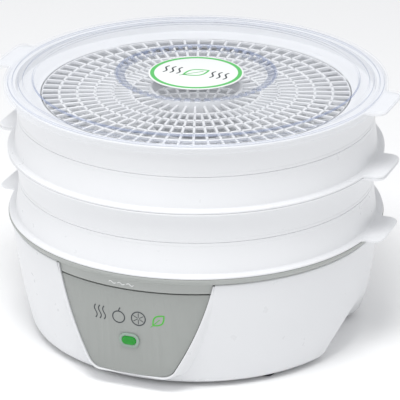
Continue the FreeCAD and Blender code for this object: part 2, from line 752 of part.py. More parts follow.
def make_stator():
    """The laminated core with its bore, its window for the coil and two screw holes, and the coil."""
    low, tall = sizes.stator_level, sizes.stator_height
    half, back, front = sizes.stator_half_width, sizes.stator_back, sizes.stator_front
    limb = sizes.limb_width
    core = new_body("stator_body")
    outline = new_sketch(core, "stator_outline", "XY_Plane", low)
    draw_loop(outline, [(-half, -front), (half, -front), (half, back), (-half, back)])
    draw_circle(outline, sizes.stator_bore_radius)
    inner, far = half - limb, back - limb
    draw_loop(outline, [(-inner, front), (inner, front), (inner, far), (-inner, far)])
    pad(core, outline, "stator_block", tall)
    holes = []
    for side in (-1, 1):
        centre = (sizes.motor_screw_place * side, 0, low - BEYOND)
        holes.append(cylinder(f"bolt_hole_{side + 1}", sizes.pilot_radius, tall + 2 * BEYOND, centre))
    keep(cut("motor_stator_drilled", core, fuse("bolt_holes", holes)), "motor_stator")

    coil = new_body("coil_body")
    wrap = new_sketch(coil, "coil_outline", "YZ_Plane", limb - half + 0.5)
    centre, middle = back - limb / 2, low + tall / 2
    outside = (as_size(11), tall / 2 + 6)
    inside = (limb / 2 + 0.2, tall / 2 + 0.2)
    for across, up in (outside, inside):
        near, far = centre - across, centre + across
        draw_loop(wrap, [(near, middle - up), (far, middle - up), (far, middle + up), (near, middle + up)])
    pad(coil, wrap, "coil_winding", half * 2 - limb * 2 - 1)
    keep(coil, "motor_coil")


def make_bearings():
    """The two bars that hold the shaft's bearings, and the screws that clamp them to the core."""
    low = sizes.motor_plate_level + sizes.motor_plate_wall
    high = sizes.stator_level + sizes.stator_height
    half = sizes.bearing_bar_length / 2
    bore = sizes.shaft_radius + sizes.shaft_play
    rise = sizes.bearing_boss_height
    rows = (
        ("lower", low, sizes.stator_level - low, low - rise),
        ("upper", high, sizes.bearing_wall, high),
    )
    for word, level, thick, boss_level in rows:
        bracket = new_body(word + "_bracket")
        bar = new_sketch(bracket, word + "_bracket_outline", "XY_Plane", level)
        draw_loop(bar, [(-half, -6), (half, -6), (half, 6), (-half, 6)])
        draw_circle(bar, bore)
        for side in (-1, 1):
            draw_circle(bar, sizes.pilot_radius, sizes.motor_screw_place * side, 0)
        pad(bracket, bar, word + "_bracket_bar", thick)
        boss = new_sketch(bracket, word + "_boss_outline", "XY_Plane", boss_level)
        draw_circle(boss, sizes.bearing_boss_radius)
        draw_circle(boss, bore)
        pad(bracket, boss, word + "_boss", thick + rise)
        keep(bracket, word + "_bearing_bracket")
    bolts = []
    for side in (-1, 1):
        across = sizes.motor_screw_place * side
        bolts.append(screw(f"motor_screw_{side + 1}", across, 0, high + sizes.bearing_wall, 26, up=False))
    keep(group("motor_screws", bolts), "motor_screws")


def make_rotor():
    """The shaft and the core pressed on it."""
    low = sizes.stator_level - 5
    length = sizes.fan_level + sizes.fan_height + 1 - low
    keep(cylinder("shaft_rod", sizes.shaft_radius, length, (0, 0, low)), "motor_shaft")
    rotor = new_body("rotor_body")
    ring = new_sketch(rotor, "rotor_outline", "XY_Plane", sizes.stator_level + 0.5)
    draw_circle(ring, sizes.rotor_core_radius)
    draw_circle(ring, sizes.shaft_radius)
    pad(rotor, ring, "rotor_core_block", sizes.stator_height - 1)
    keep(rotor, "rotor_core")


def make_motor():
    make_motor_bracket()
    make_stator()
    make_bearings()
    make_rotor()


def make_fan():
    fan = new_body("fan_body")
    low, tall = sizes.fan_level, sizes.fan_height
    hub = sizes.fan_hub_radius
    corners = [
        (sizes.shaft_radius, low),
        (sizes.shaft_radius + 3, low),
        (sizes.shaft_radius + 3, low + tall - 2.5),
        (hub - 2, low + tall - 2.5),
        (hub - 2, low),
        (hub, low),
        (hub, low + tall - 1.5),
        (hub - 1.5, low + tall),
        (sizes.shaft_radius, low + tall),
    ]
    lathe(fan, "fan_hub", corners)
    shape = blade_shape()
    count = int(sizes.fan_blades.value)
    blades = []
    for number in range(count):
        blade = doc.addObject("Part::Feature", f"blade_{number + 1}")
        blade.Shape = shape
        blade.Placement = FreeCAD.Placement(Vector(), turned(Vector(0, 0, 1), 360.0 * number / count))
        blades.append(blade)
    keep(fuse("fan_fused", [fan] + blades), "fan_rotor")


def blade_shape():
    """One fan blade: a twisted strip lofted from a steep root to a flatter tip."""
    root, tip = sizes.fan_hub_radius.value - 1.0, sizes.fan_radius.value
    middle_level = sizes.fan_level.value + sizes.fan_height.value / 2 - 0.5
    stations = []
    for share in (0.0, 0.35, 0.7, 1.0):
        radius = root + (tip - root) * share
        pitch = math.radians(sizes.fan_pitch.value - 12 * share)
        chord = 15.0 + 12.0 * share
        half_wall = 0.9
        along = Vector(0, math.cos(pitch), math.sin(pitch)) * (chord / 2)
        across = Vector(0, -math.sin(pitch), math.cos(pitch)) * half_wall
        centre = Vector(radius, 2.0 * share, middle_level)
        low_side, high_side = centre - across, centre + across
        corners = [low_side - along, low_side + along, high_side + along, high_side - along]
        stations.append(Part.makePolygon(corners + [corners[0]]))
    return Part.makeLoft(stations, True, True)


# ---------------------------------------------------------------- the heater


def make_heater():
    duct = new_body("duct_body")
    outer, wall = sizes.duct_radius, sizes.duct_wall
    top = sizes.deck_floor_level - sizes.deck_wall
    foot = sizes.duct_foot_level
    flange = outer + 5.8
    corners = [
        (outer - wall, foot),
        (outer, foot),
        (outer, top - wall),
        (flange, top - wall),
        (flange, top),
        (outer - wall, top),
    ]
    lathe(duct, "duct_turning", corners)
    keep(duct, "air_duct")

    level, ring, tube = sizes.heater_level, sizes.heater_ring_radius, sizes.heater_tube_radius
    coil = doc.addObject("Part::Torus", "heater_ring")
    bind(coil, Radius1=ring, Radius2=tube, Angle3=330)
    place(coil, 0, 0, level, turned(Vector(0, 0, 1), 105))
    legs = []
    for number, angle in enumerate((105, 75)):
        outward = turned(Vector(0, 0, 1), angle) * turned(Vector(0, 1, 0), 90)
        turn = math.radians(angle)
        across, along = ring.value * math.cos(turn), ring.value * math.sin(turn)
        legs.append(cylinder(f"heater_leg_{number}", tube, 17.8, (across, along, level), outward))
        elbow = doc.addObject("Part::Sphere", f"heater_elbow_{number}")
        bind(elbow, Radius=tube)
        legs.append(place(elbow, across, along, level))
    keep(fuse("heater_tube", [coil] + legs), "heater_element")

    arms = []
    for number in range(3):
        heading = turned(Vector(0, 0, 1), 30 + 120 * number)
        arm = doc.addObject("Part::Box", f"heater_arm_{number}")
        bind(arm, Length=outer - wall - 14.02, Width=1.2, Height=12)
        arm.Placement = FreeCAD.Placement(heading.multVec(Vector(14.0, -0.6, level.value - 6)), heading)
        arms.append(arm)
    core = cylinder("heater_hub", 15.0, 12, (0, 0, level - 6))
    bore = cylinder("heater_hub_hole", 12.5, 14, (0, 0, level - 7))
    clear = doc.addObject("Part::Torus", "heater_clearance")
    bind(clear, Radius1=ring, Radius2=tube + 0.02)
    place(clear, 0, 0, level)
    spider = fuse("heater_spider", [cut("heater_hub_ring", core, bore)] + arms)
    keep(cut("heater_holder", spider, clear), "heater_support")

    side = as_size(outer.value + 0.3)
    outward = turned(Vector(0, 1, 0), 90)
    can = cylinder("thermostat_can", 8.0, 5.5, (side, 0, 70), outward)
    cap = cylinder("thermostat_cap", 6.5, 5.0, (side + 5.4, 0, 70), outward)
    tabs = []
    for number, along in enumerate((-4.4, 3.6)):
        tabs.append(box(f"thermostat_tab_{number}", (side + 10, along, 66.5), (6, 0.8, 5)))
    keep(fuse("thermostat", [can, cap] + tabs), "limit_thermostat")

    turn_left = turned(Vector(1, 0, 0), 90)
    fuse_can = cylinder("fuse_can", 2.0, 11, (-side - 2.3, 5.5, 74), turn_left)
    pins = cylinder("fuse_pins", 0.6, 27, (-side - 2.3, 13.5, 74), turn_left)
    keep(fuse("thermal_fuse_joined", [fuse_can, pins]), "thermal_fuse")


# ---------------------------------------------------------------- the outlet grille


def make_grille():
    grille = new_body("grille_body")
    low, tall = sizes.deck_floor_level - sizes.deck_wall, sizes.grille_wall
    rim, half = sizes.outlet_radius - 0.2, sizes.grille_bar / 2
    frame = new_sketch(grille, "grille_rings", "XY_Plane", low)
    for radius in (rim, rim - 2.4):
        draw_circle(frame, radius)
    pad(grille, frame, "grille_frame", tall)
    spoke_sketch = new_sketch(grille, "grille_spoke", "XY_Plane", low)
    root, tip = as_size(9), rim - 1.6
    draw_loop(spoke_sketch, [(root, -half), (tip, -half), (tip, half), (root, half)])
    spoke = pad(grille, spoke_sketch, "grille_spoke_bar", tall)
    hub_sketch = new_sketch(grille, "grille_hub", "XY_Plane", low)
    draw_circle(hub_sketch, root + 1)
    repeat_round(grille, [spoke], "grille_spokes", sizes.grille_spokes)
    pad(grille, hub_sketch, "grille_centre", tall)
    for number in range(4):
        radius = sizes.grille_hoop_start + sizes.grille_hoop_pitch * number
        ring_sketch = new_sketch(grille, f"grille_ring_{number}", "XY_Plane", low)
        draw_circle(ring_sketch, radius + half)
        draw_circle(ring_sketch, radius - half)
        pad(grille, ring_sketch, f"grille_hoop_{number}", tall)
    keep(grille, "outlet_grille")


# ---------------------------------------------------------------- the cord inlet and the wiring


def make_inlet():
    """The gland that holds the mains cord in the shell's back, and the terminal block inside."""
    back = turned(Vector(1, 0, 0), -90)
    wall_y, level = sizes.gland_wall_place, sizes.gland_level
    collar = cylinder("gland_collar", sizes.gland_collar_radius, 2.4, (0, wall_y + 2.4, level), back)
    sleeve = cylinder("gland_sleeve", sizes.gland_sleeve_radius, 12.5, (0, wall_y - 9.5, level), back)
    nut = cylinder("gland_nut", sizes.gland_nut_radius, 3.0, (0, wall_y - 8.0, level), back)
    bore = cylinder("gland_bore", sizes.gland_hole_radius, 30, (0, wall_y - 20, level), back)
    keep(cut("gland_drilled", fuse("gland_blank", [collar, sleeve, nut]), bore), "cord_gland")
    block = box("terminal_blank", (-21, 92, sizes.cover_level + sizes.cover_wall), (42, 15, 13))
    slots = []
    for number in range(4):
        slots.append(box(f"terminal_slot_{number}", (-17.5 + 10 * number, 90, 8), (5, 9, 6)))
    keep(cut("terminal_housing", block, fuse("terminal_slots", slots)), "terminal_block")


def lead_shape(points, radius):
    """A round lead along straight runs joined by tangent arcs of 0.45 of the shorter run."""
    points = [Vector(*point) for point in points]
    edges = []
    start = points[0]
    for before, corner, after in zip(points[:-2], points[1:-1], points[2:]):
        towards = (before - corner).normalize()
        away = (after - corner).normalize()
        angle = math.pi - towards.getAngle(away)
        shorter = min(before.distanceToPoint(corner), after.distanceToPoint(corner))
        trim = 0.45 * shorter
        bend = trim / math.tan(angle / 2)
        first, last = corner + towards * trim, corner + away * trim
        inward = (towards + away).normalize()
        centre = corner + inward * math.sqrt(bend**2 + trim**2)
        middle = centre + (corner - centre).normalize() * bend
        edges.append(Part.LineSegment(start, first).toShape())
        edges.append(Part.Arc(first, middle, last).toShape())
        start = last
    edges.append(Part.LineSegment(start, points[-1]).toShape())
    path = Part.Wire(edges)
    profile = Part.Wire(Part.Circle(points[0], points[1] - points[0], radius).toShape())
    return path.makePipeShell([profile], True, True)


LEAD_TO_FUSE = [
    (-15, 97, 11),
    (-15, 84, 12),
    (-30, 74, 22),
    (-60, 56, 40),
    (-76, 34, 58),
    (-72, 20, 72),
    (-64.8, 14.4, 74),
]
LEAD_TO_MOTOR = [
    (-5, 97, 11),
    (-5, 84, 12),
    (-8, 72, 20),
    (-9, 60, 28),
    (-6, 48.4, 32),
]
LEAD_TO_THERMOSTAT = [
    (5, 97, 11),
    (5, 84, 12),
    (24, 74, 22),
    (56, 58, 36),
    (82, 34, 48),
    (92, 10, 60),
    (79.9, -4, 69),
]
LEAD_TO_INDICATOR = [
    (15, 97, 11),
    (16, 84, 10),
    (44, 74, 9),
    (78, 56, 10),
    (92, 18, 11),
    (88, -30, 12),
    (52, -78, 14),
    (24, -112, 22),
    (6, -131, 34),
]


def make_leads():
    """Four insulated leads from the terminal block, each through the points of its route."""
    routes = (
        ("lead_to_fuse", LEAD_TO_FUSE),
        ("lead_to_motor", LEAD_TO_MOTOR),
        ("lead_to_thermostat", LEAD_TO_THERMOSTAT),
        ("lead_to_indicator", LEAD_TO_INDICATOR),
    )
    for name, points in routes:
        lead = doc.addObject("Part::Feature", name + "_route")
        lead.Shape = lead_shape(points, sizes.lead_radius.value)
        keep(lead, name)


# ---------------------------------------------------------------- the trays


def tab_outline(sketch, reach, half, corner, root):
    """The rounded lifting tab at +X."""
    draw_loop(
        sketch,
        [
            (root, -half),
            (reach - corner, -half),
            (reach, corner - half),
            (reach, half - corner),
            (reach - corner, half),
            (root, half),
        ],
        {1: (corner, -1), 3: (corner, -1)},
    )


def grid_cells(body, name, rings, bars):
    """The openings of one sector of the floor grid, repeated round the tray."""
    below = sizes.tray_floor_level - 1
    sketch = new_sketch(body, name + "_outline", "XY_Plane", below)
    half_ring, half_bar = sizes.grid_ring_wall.value / 2, sizes.grid_bar_wall.value / 2
    step = math.pi / bars.value
    for inner_ring, outer_ring in rings:
        inner, outer = inner_ring + half_ring, outer_ring - half_ring
        corners = []
        for radius, side in ((inner, -1), (outer, -1), (outer, 1), (inner, 1)):
            angle = side * (step - math.asin(half_bar / radius.value))
            corners.append((radius * math.cos(angle), radius * math.sin(angle)))
        draw_loop(sketch, corners, {1: (outer, -1), 3: (inner, 1)})
    cells = pocket(body, sketch, name, sizes.tray_floor_wall + 2)
    repeat_round(body, [cells], name + "_all", bars)


def tray_rim():
    """A tray's wall with its flange and tabs, flange face on the XY plane and narrow end up."""
    body = new_body("tray_rim_blank")
    wall, tall = sizes.tray_wall, sizes.tray_pitch - sizes.tray_gap
    flange, wide, narrow = sizes.tray_flange_radius, sizes.tray_wide_radius, sizes.tray_narrow_radius
    floor, thick = sizes.tray_floor_level, sizes.tray_floor_wall
    bead = sizes.tray_bead
    inside = narrow - wall + 2.0
    corners = [
        (wide - wall, 0),
        (flange, 0),
        (flange, sizes.tray_flange_wall),
        (wide, sizes.tray_flange_wall),
        (narrow + 0.3, tall - 3.0),
        (narrow + bead, tall - 2.5),
        (narrow + bead, tall),
        (narrow - wall, tall),
        (inside, floor + thick),
        (sizes.tray_split_radius, floor + thick),
        (sizes.tray_split_radius, floor),
        (inside + 0.6, floor),
    ]
    lathe(body, "tray_rim_turning", corners)
    tab = new_sketch(body, "tray_tab_outline", "XY_Plane")
    tab_outline(tab, sizes.tab_reach, sizes.tab_half_width, sizes.tab_corner, wide - wall + 1.5)
    tab_pad = pad(body, tab, "tray_tab", sizes.tray_flange_wall)
    repeat_round(body, [tab_pad], "tray_tabs", 2)
    doc.recompute()
    return body


def grid_plate():
    """The flat part of a tray's floor, with the openings of its grid."""
    body = new_body("grid_plate")
    floor, face = sizes.tray_floor_level, sizes.tray_floor_level + sizes.tray_floor_wall
    border, hub = sizes.tray_split_radius, sizes.hub_radius
    lathe(body, "grid_plate_turning", [(border, floor), (border, face), (hub, face), (hub, floor)])
    rings = [sizes.grid_outer_radius - sizes.grid_ring_pitch * number for number in range(6)]
    rows = [(rings[number + 1], rings[number]) for number in range(5)]
    grid_cells(body, "grid", rows, sizes.grid_bars)
    grid_cells(body, "inner_grid", [(sizes.hub_radius - 1.1, rings[5])], sizes.grid_inner_bars)
    return body


def wedge(name, radius, low, high, start=0):
    """One eighth of a cylinder about the Z axis."""
    piece = cylinder(name, radius, high - low, (0, 0, low), turned(Vector(0, 0, 1), start))
    piece.Angle = EIGHTH
    return piece


def tray_bosses():
    """The two pegs and two sockets that keep stacked trays in line, each with its boss."""
    tall = sizes.tray_pitch - sizes.tray_gap
    face = sizes.tray_floor_level + sizes.tray_floor_wall
    turn = math.radians(sizes.peg_angle.value)
    bosses = []
    for mirror in (-1, 1):
        across = sizes.peg_place_radius * (mirror * math.cos(turn))
        along = sizes.peg_place_radius * math.sin(turn)
        tag = "left" if mirror < 0 else "right"
        boss = cylinder(f"{tag}_peg_boss", sizes.peg_boss_radius, tall - face, (across, along, face))
        pin = cylinder(f"{tag}_peg_pin", sizes.peg_radius, sizes.peg_height, (across, along, tall))
        bosses.append(fuse(f"{tag}_peg", [boss, pin]))
        blank = cylinder(f"{tag}_socket_boss", sizes.peg_boss_radius, tall - face, (across, -along, face))
        bore = cylinder(f"{tag}_socket_bore", sizes.socket_radius, tall - face, (across, -along, face))
        bosses.append(cut(f"{tag}_socket", blank, bore))
    return bosses


def tray_grid():
    """A tray's floor as eighths that meet face to face, each a simple piece, and its four bosses."""
    half_cell = EIGHTH / (sizes.grid_bars.value / 4)
    low = sizes.tray_floor_level - sizes.hub_overhang
    high = sizes.tray_floor_level + sizes.tray_floor_wall + sizes.hub_overhang
    slice_of_disc = wedge("grid_wedge", sizes.tray_flange_radius, low, high, half_cell)
    sector = common("grid_eighth", grid_plate(), slice_of_disc)
    outside = wedge("collar_wedge", sizes.hub_radius, low, high)
    bore = cylinder("collar_bore", sizes.hub_hole_radius, high - low, (0, 0, low))
    collar = cut("collar_eighth", outside, bore)
    bosses = tray_bosses()
    doc.recompute()
    pieces = [boss.Shape.copy() for boss in bosses]
    for number in range(int(360 / EIGHTH)):
        for eighth in (sector, collar):
            piece = eighth.Shape.copy()
            piece.rotate(Vector(0, 0, 0), Vector(0, 0, 1), EIGHTH * number)
            pieces.append(piece)
    floor = doc.addObject("Part::Feature", "tray_grid_blank")
    floor.Shape = Part.makeCompound(pieces)
    return floor


def make_trays():
    """Four trays. Every second one is turned over, so that they sit flange to flange and end to end."""
    tall = sizes.tray_pitch - sizes.tray_gap
    over = turned(Vector(1, 0, 0), 180)
    for blank, ending in ((tray_rim(), ""), (tray_grid(), "_grid")):
        for number in range(4):
            level = sizes.deck_rim_level + sizes.tray_gap + sizes.tray_pitch * number
            tray = doc.addObject("Part::Feature", f"tray_{number + 1}{ending}_piece")
            tray.Shape = blank.Shape
            if number % 2:
                tray.Placement = FreeCAD.Placement(Vector(0, 0, (level + tall).value), over)
            else:
                tray.Placement = FreeCAD.Placement(Vector(0, 0, level.value), FreeCAD.Rotation())
            keep(tray, f"tray_{number + 1}{ending}")


# ---------------------------------------------------------------- the lid


def make_lid():
    seat = sizes.deck_rim_level + sizes.tray_gap + sizes.tray_pitch * 4
    body = new_body("lid_body")
    wall = sizes.lid_wall
    top = seat + wall
    crest = top + sizes.lid_crest_rise
    dish = crest - sizes.lid_dish_drop
    corners = [
        (sizes.lid_radius, seat - sizes.lid_skirt),
        (sizes.lid_radius, top - 0.8),
        (sizes.lid_radius - 0.8, top),
        (sizes.lid_step_radius, top),
        (sizes.lid_dome_radius, top + sizes.lid_dome_rise),
        (sizes.lid_crest_radius + 1.2, crest),
        (sizes.lid_crest_radius - 0.4, crest),
        (sizes.lid_dish_radius + 0.6, dish),
        (0, dish),
        (0, dish - wall),
        (sizes.lid_dish_radius - 0.8, dish - wall),
        (sizes.lid_crest_radius + 0.6, crest - wall),
        (sizes.lid_dome_radius + 0.4, top + sizes.lid_dome_rise - wall),
        (sizes.lid_step_radius, seat),
        (sizes.lid_radius - 1.4, seat),
        (sizes.lid_radius - 1.4, seat - sizes.lid_skirt),
    ]
    lathe(body, "lid_turning", corners)
    tab = new_sketch(body, "lid_tab_outline", "XY_Plane", seat)
    tab_outline(tab, sizes.tab_reach + 0.6, sizes.tab_half_width, sizes.tab_corner, sizes.lid_radius - 4)
    tab_pad = pad(body, tab, "lid_tab", wall)
    repeat_round(body, [tab_pad], "lid_tabs", 2)
    gap = new_sketch(body, "skirt_gap_outline", "XY_Plane", seat - sizes.lid_skirt - 1)
    half_gap = sizes.tab_half_width + 0.6
    near, far = sizes.lid_step_radius, sizes.lid_radius + 2
    draw_loop(gap, [(near, -half_gap), (far, -half_gap), (far, half_gap), (near, half_gap)])
    skirt_gap = pocket(body, gap, "skirt_gap", sizes.lid_skirt + 1)
    repeat_round(body, [skirt_gap], "skirt_gaps", 2)
    vent = new_sketch(body, "vent_outline", "XY_Plane", dish - wall - 3)
    outer = sizes.lid_dish_radius + 1.8
    half = sizes.lid_vent_width / 2
    inner = outer - sizes.lid_vent_length
    draw_loop(vent, [(inner, -half), (outer, -half), (outer, half), (inner, half)])
    slot = pocket(body, vent, "vent", 10)
    repeat_round(body, [slot], "vents", sizes.lid_vents)
    keep(body, "lid")

    label = new_body("label_body")
    wall = sizes.label_wall
    corners = [
        (0, dish),
        (sizes.label_radius, dish),
        (sizes.label_radius, dish + wall - 0.3),
        (sizes.label_radius - 0.4, dish + wall),
        (0, dish + wall),
    ]
    lathe(label, "label_turning", corners)
    keep(label, "lid_label")


# ---------------------------------------------------------------- build, test and write


def check_and_write():
    doc.recompute()
    failed = [thing.Name for thing in doc.Objects if "Invalid" in thing.State or "Error" in thing.State]
    if failed:
        raise RuntimeError(f"these objects failed: {failed}")
    for part in sub_parts:
        if part.Shape.isNull() or not part.Shape.isValid() or not part.Shape.Solids:
            raise RuntimeError(f"{part.Label} has no valid solid")
    os.makedirs("parts", exist_ok=True)
    for part in sub_parts:
        part.Shape.exportStep(os.path.join("parts", part.Label + ".step"))
        print(f"{part.Label}: {len(part.Shape.Solids)} solid(s), {part.Shape.Volume / 1000:.1f} cm3")


make_shell()
make_deck()
make_panel()
make_indicator()
make_bottom_cover()
make_fasteners_and_feet()
make_motor()
make_fan()
make_heater()
make_grille()
make_inlet()
make_leads()
make_trays()
make_lid()
check_and_write()
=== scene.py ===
import math

import bmesh
import bpy
import numpy as np
from mathutils import Matrix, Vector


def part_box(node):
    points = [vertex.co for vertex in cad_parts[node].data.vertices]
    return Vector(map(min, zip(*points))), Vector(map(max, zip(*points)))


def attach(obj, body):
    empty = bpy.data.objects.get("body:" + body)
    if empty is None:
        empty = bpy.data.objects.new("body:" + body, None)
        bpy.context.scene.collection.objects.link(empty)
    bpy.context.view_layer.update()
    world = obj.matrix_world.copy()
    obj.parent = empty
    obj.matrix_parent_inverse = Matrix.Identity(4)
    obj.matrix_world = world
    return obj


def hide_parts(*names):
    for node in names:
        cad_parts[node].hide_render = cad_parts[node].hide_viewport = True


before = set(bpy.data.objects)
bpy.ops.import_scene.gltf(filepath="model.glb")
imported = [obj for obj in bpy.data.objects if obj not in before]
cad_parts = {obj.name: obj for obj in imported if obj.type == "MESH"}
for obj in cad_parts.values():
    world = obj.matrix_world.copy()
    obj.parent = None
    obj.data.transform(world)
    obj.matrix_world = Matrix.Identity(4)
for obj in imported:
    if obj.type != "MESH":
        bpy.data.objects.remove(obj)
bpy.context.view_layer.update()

MM = 0.001

# ---------------------------------------------------------------- Base shell
# The shell is one white ABS moulding: a round tub whose side leans out towards the top, with a window at
# the front for the grey panel, a bevelled frame round that window and a finger grip scooped out under each
# side. It is polished in the tool, so it has a soft gloss over a very fine orange peel.

shell_low, shell_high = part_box("base_shell")
SHELL_BASE, SHELL_TOP = shell_low.z, shell_high.z
SHELL_TOP_RADIUS = shell_high.y
SHELL_FOOT_RADIUS = 143.4 * MM
SHELL_BASE_RADIUS = 136.5 * MM
SHELL_FOOT = 9.0 * MM
SIDE_BULGE = 560 * MM
EDGE_ROUND = 9.5 * MM
SHELL_WALL = 2.6 * MM
FLOOR_OPENING = 118.5 * MM
RIM_ROUND = 1.1 * MM
RIM_TURNS = (0.35, 0.8, 1.2, math.pi / 2)
FOOT_STEPS, SIDE_STEPS, ROUND_STEPS, FRONT_STEPS, LEVEL_STEPS = 8, 60, 190, 34, 44
GRIP_FOOT_RADIUS = 116 * MM
GRIP_SCOOP = 103 * MM
GRIP_SLOPE = math.radians(44)
GRIP_BLEND = 9 * MM
GRIP_FACING = 0.3
WINDOW_HALF_TOP, WINDOW_OVERRUN = 70.2 * MM, 10 * MM
WINDOW_HALF_FOOT, WINDOW_FOOT = 38.5 * MM, 14.5 * MM
WINDOW_CORNER, CORNER_WIDTH, CORNER_HEIGHT = 12.4 * MM, 10.5 * MM, 7 * MM
WINDOW_BULGE = 270 * MM
FRAME_FOOT_RADIUS, FRAME_TOP_RADIUS = 156.4 * MM, 157.6 * MM
FRAME_LIP, FRAME_BACK = 1.3 * MM, 5 * MM
BEVEL_TOP, BEVEL_FOOT, BEVEL_UNDER = 4.6 * MM, 9.4 * MM, 4.2 * MM
BEVEL_LEVEL = 20 * MM
BEVEL_SINK = 0.5 * MM
# Across the frame's lip: how far out from the opening, and how deep behind the frame's face.
LIP_STEPS = ((0, FRAME_BACK), (0, 0.6 * MM), (0.25 * MM, 0.15 * MM), (0.7 * MM, 0), (FRAME_LIP, 0.1 * MM))
# Down its bevel, as shares of the bevel's width and of its drop.
BEVEL_STEPS = ((0.12, 0.05), (0.3, 0.22), (0.6, 0.6), (0.85, 0.88), (1.0, 1.0))
OPENING_GROWTH = 2 * MM
NOISE_RANGE = (0.3, 0.7)
WEAR_MM = 18


def bulged(start, end, radius, steps):
    """Points from start to end along an arc that bulges to the right of the run."""
    start, end = np.array(start, float), np.array(end, float)
    chord = end - start
    length = np.linalg.norm(chord)
    right = np.array([chord[1], -chord[0]]) / length
    centre = (start + end) / 2 - right * math.sqrt(radius**2 - (length / 2) ** 2)
    half = math.asin(length / 2 / radius)
    points = []
    for share in np.linspace(-1, 1, steps + 1):
        along = chord / length * radius * math.sin(half * share)
        points.append(tuple(centre + along + right * radius * math.cos(half * share)))
    return points


def rounded(corners, steps=5):
    """An outline through (x, y, radius) corners, each corner with a radius turned into an arc."""
    points = []
    count = len(corners)
    for number, (x, y, radius) in enumerate(corners):
        here = np.array([x, y], float)
        if radius <= 0:
            points.append((x, y))
            continue
        before = np.array(corners[number - 1][:2], float) - here
        after = np.array(corners[(number + 1) % count][:2], float) - here
        to_before, to_after = before / np.linalg.norm(before), after / np.linalg.norm(after)
        angle = math.acos(np.clip(to_before @ to_after, -1, 1))
        trim = min(radius / math.tan(angle / 2), 0.49 * np.linalg.norm(before), 0.49 * np.linalg.norm(after))
        bend = trim * math.tan(angle / 2)
        inward = (to_before + to_after) / np.linalg.norm(to_before + to_after)
        centre = here + inward * math.hypot(bend, trim)
        first = here + to_before * trim - centre
        sweep = math.pi - angle
        turn = math.copysign(sweep, np.cross(to_after, to_before))
        for share in np.linspace(0, 1, steps + 1):
            c, s = math.cos(turn * share), math.sin(turn * share)
            points.append((centre[0] + first[0] * c - first[1] * s, centre[1] + first[0] * s + first[1] * c))
    return points


def new_object(name, data):
    """An object that holds some data, linked into the scene."""
    thing = bpy.data.objects.new(name, data)
    bpy.context.scene.collection.objects.link(thing)
    return thing


def skin(name, rows, closed_round=True, closed_section=False):
    """A mesh object from rows of points. Rows that go round the outside upwards give faces that point out."""
    mesh = bpy.data.meshes.new(name)
    count, width = len(rows), len(rows[0])
    verts = [point for row in rows for point in row]
    faces = []
    for i in range(count if closed_section else count - 1):
        for j in range(width if closed_round else width - 1):
            a, b = i * width + j, i * width + (j + 1) % width
            c, d = (i + 1) % count * width + (j + 1) % width, (i + 1) % count * width + j
            faces.append((a, b, c, d))
    mesh.from_pydata(verts, [], faces)
    return new_object(name, mesh)


def finish_mesh(thing, merge=1e-6, angle=35):
    """Merges doubles, drops faces of no area and shades smooth up to an angle between faces."""
    form = bmesh.new()
    form.from_mesh(thing.data)
    bmesh.ops.remove_doubles(form, verts=form.verts, dist=merge)
    bmesh.ops.dissolve_degenerate(form, edges=form.edges, dist=1e-7)
    form.to_mesh(thing.data)
    form.free()
    thing.data.shade_smooth()
    thing.data.set_sharp_from_angle(angle=math.radians(angle))
    return thing


def join(things, merge):
    """Joins the meshes of several objects into the first and merges points that meet."""
    form = bmesh.new()
    for thing in things:
        form.from_mesh(thing.data)
    bmesh.ops.remove_doubles(form, verts=form.verts, dist=merge)
    form.to_mesh(things[0].data)
    form.free()
    for thing in things[1:]:
        bpy.data.objects.remove(thing)
    return things[0]


def baked(thing):
    """Turns what an object's modifiers give into its plain mesh."""
    depsgraph = bpy.context.evaluated_depsgraph_get()
    depsgraph.update()
    mesh = bpy.data.meshes.new_from_object(thing.evaluated_get(depsgraph))
    thing.modifiers.clear()
    thing.data = mesh
    return thing


def thicken(thing, wall):
    """Gives a sheet a wall towards its back."""
    solid = thing.modifiers.new("wall", "SOLIDIFY")
    solid.thickness = wall
    solid.offset = -1
    solid.use_even_offset = False
    return baked(thing)


def linear(hex_colour):
    """A linear colour from an sRGB hex value."""
    channels = [int(hex_colour[place : place + 2], 16) / 255 for place in (0, 2, 4)]
    return tuple(c / 12.92 if c <= 0.04045 else ((c + 0.055) / 1.055) ** 2.4 for c in channels) + (1.0,)


def add(tree, kind, inputs=None, **settings):
    """Adds a node, sets its properties, and sets or links its inputs by name or number."""
    node = tree.nodes.new(kind)
    for key, value in settings.items():
        setattr(node, key, value)
    for key, value in (inputs or {}).items():
        if isinstance(value, bpy.types.NodeSocket):
            tree.links.new(value, node.inputs[key])
        else:
            node.inputs[key].default_value = value
    return node


def start_material(name, **uniform):
    """A material with one Principled shader, whose even values are set on its own sockets."""
    material = bpy.data.materials.new(name)
    material.use_nodes = True
    tree = material.node_tree
    shader = tree.nodes["Principled BSDF"]
    for key, value in uniform.items():
        shader.inputs[key.replace("_", " ")].default_value = value
    return material, tree, shader


def noise(tree, place, scale, detail=2.0, roughness=0.5):
    """Noise over a place; the scale is in features to the metre."""
    settings = {"Vector": place, "Scale": scale, "Detail": detail, "Roughness": roughness}
    return add(tree, "ShaderNodeTexNoise", settings).outputs["Fac"]


def ramp(tree, value, colours, stops=(0.0, 1.0)):
    """A colour that runs from one linear colour to another while a value passes between two stops."""
    tones = add(tree, "ShaderNodeValToRGB", {"Fac": value})
    for element, colour, stop in zip(tones.color_ramp.elements, colours, stops):
        element.color, element.position = colour, stop
    return tones.outputs["Color"]


def tones_of(colour, spread):
    """A darker and a lighter tone of a colour."""
    base = np.array(linear(colour)[:3])
    return [(*np.clip(base * factor, 0, 1), 1) for factor in (1 - spread, 1 + spread)]


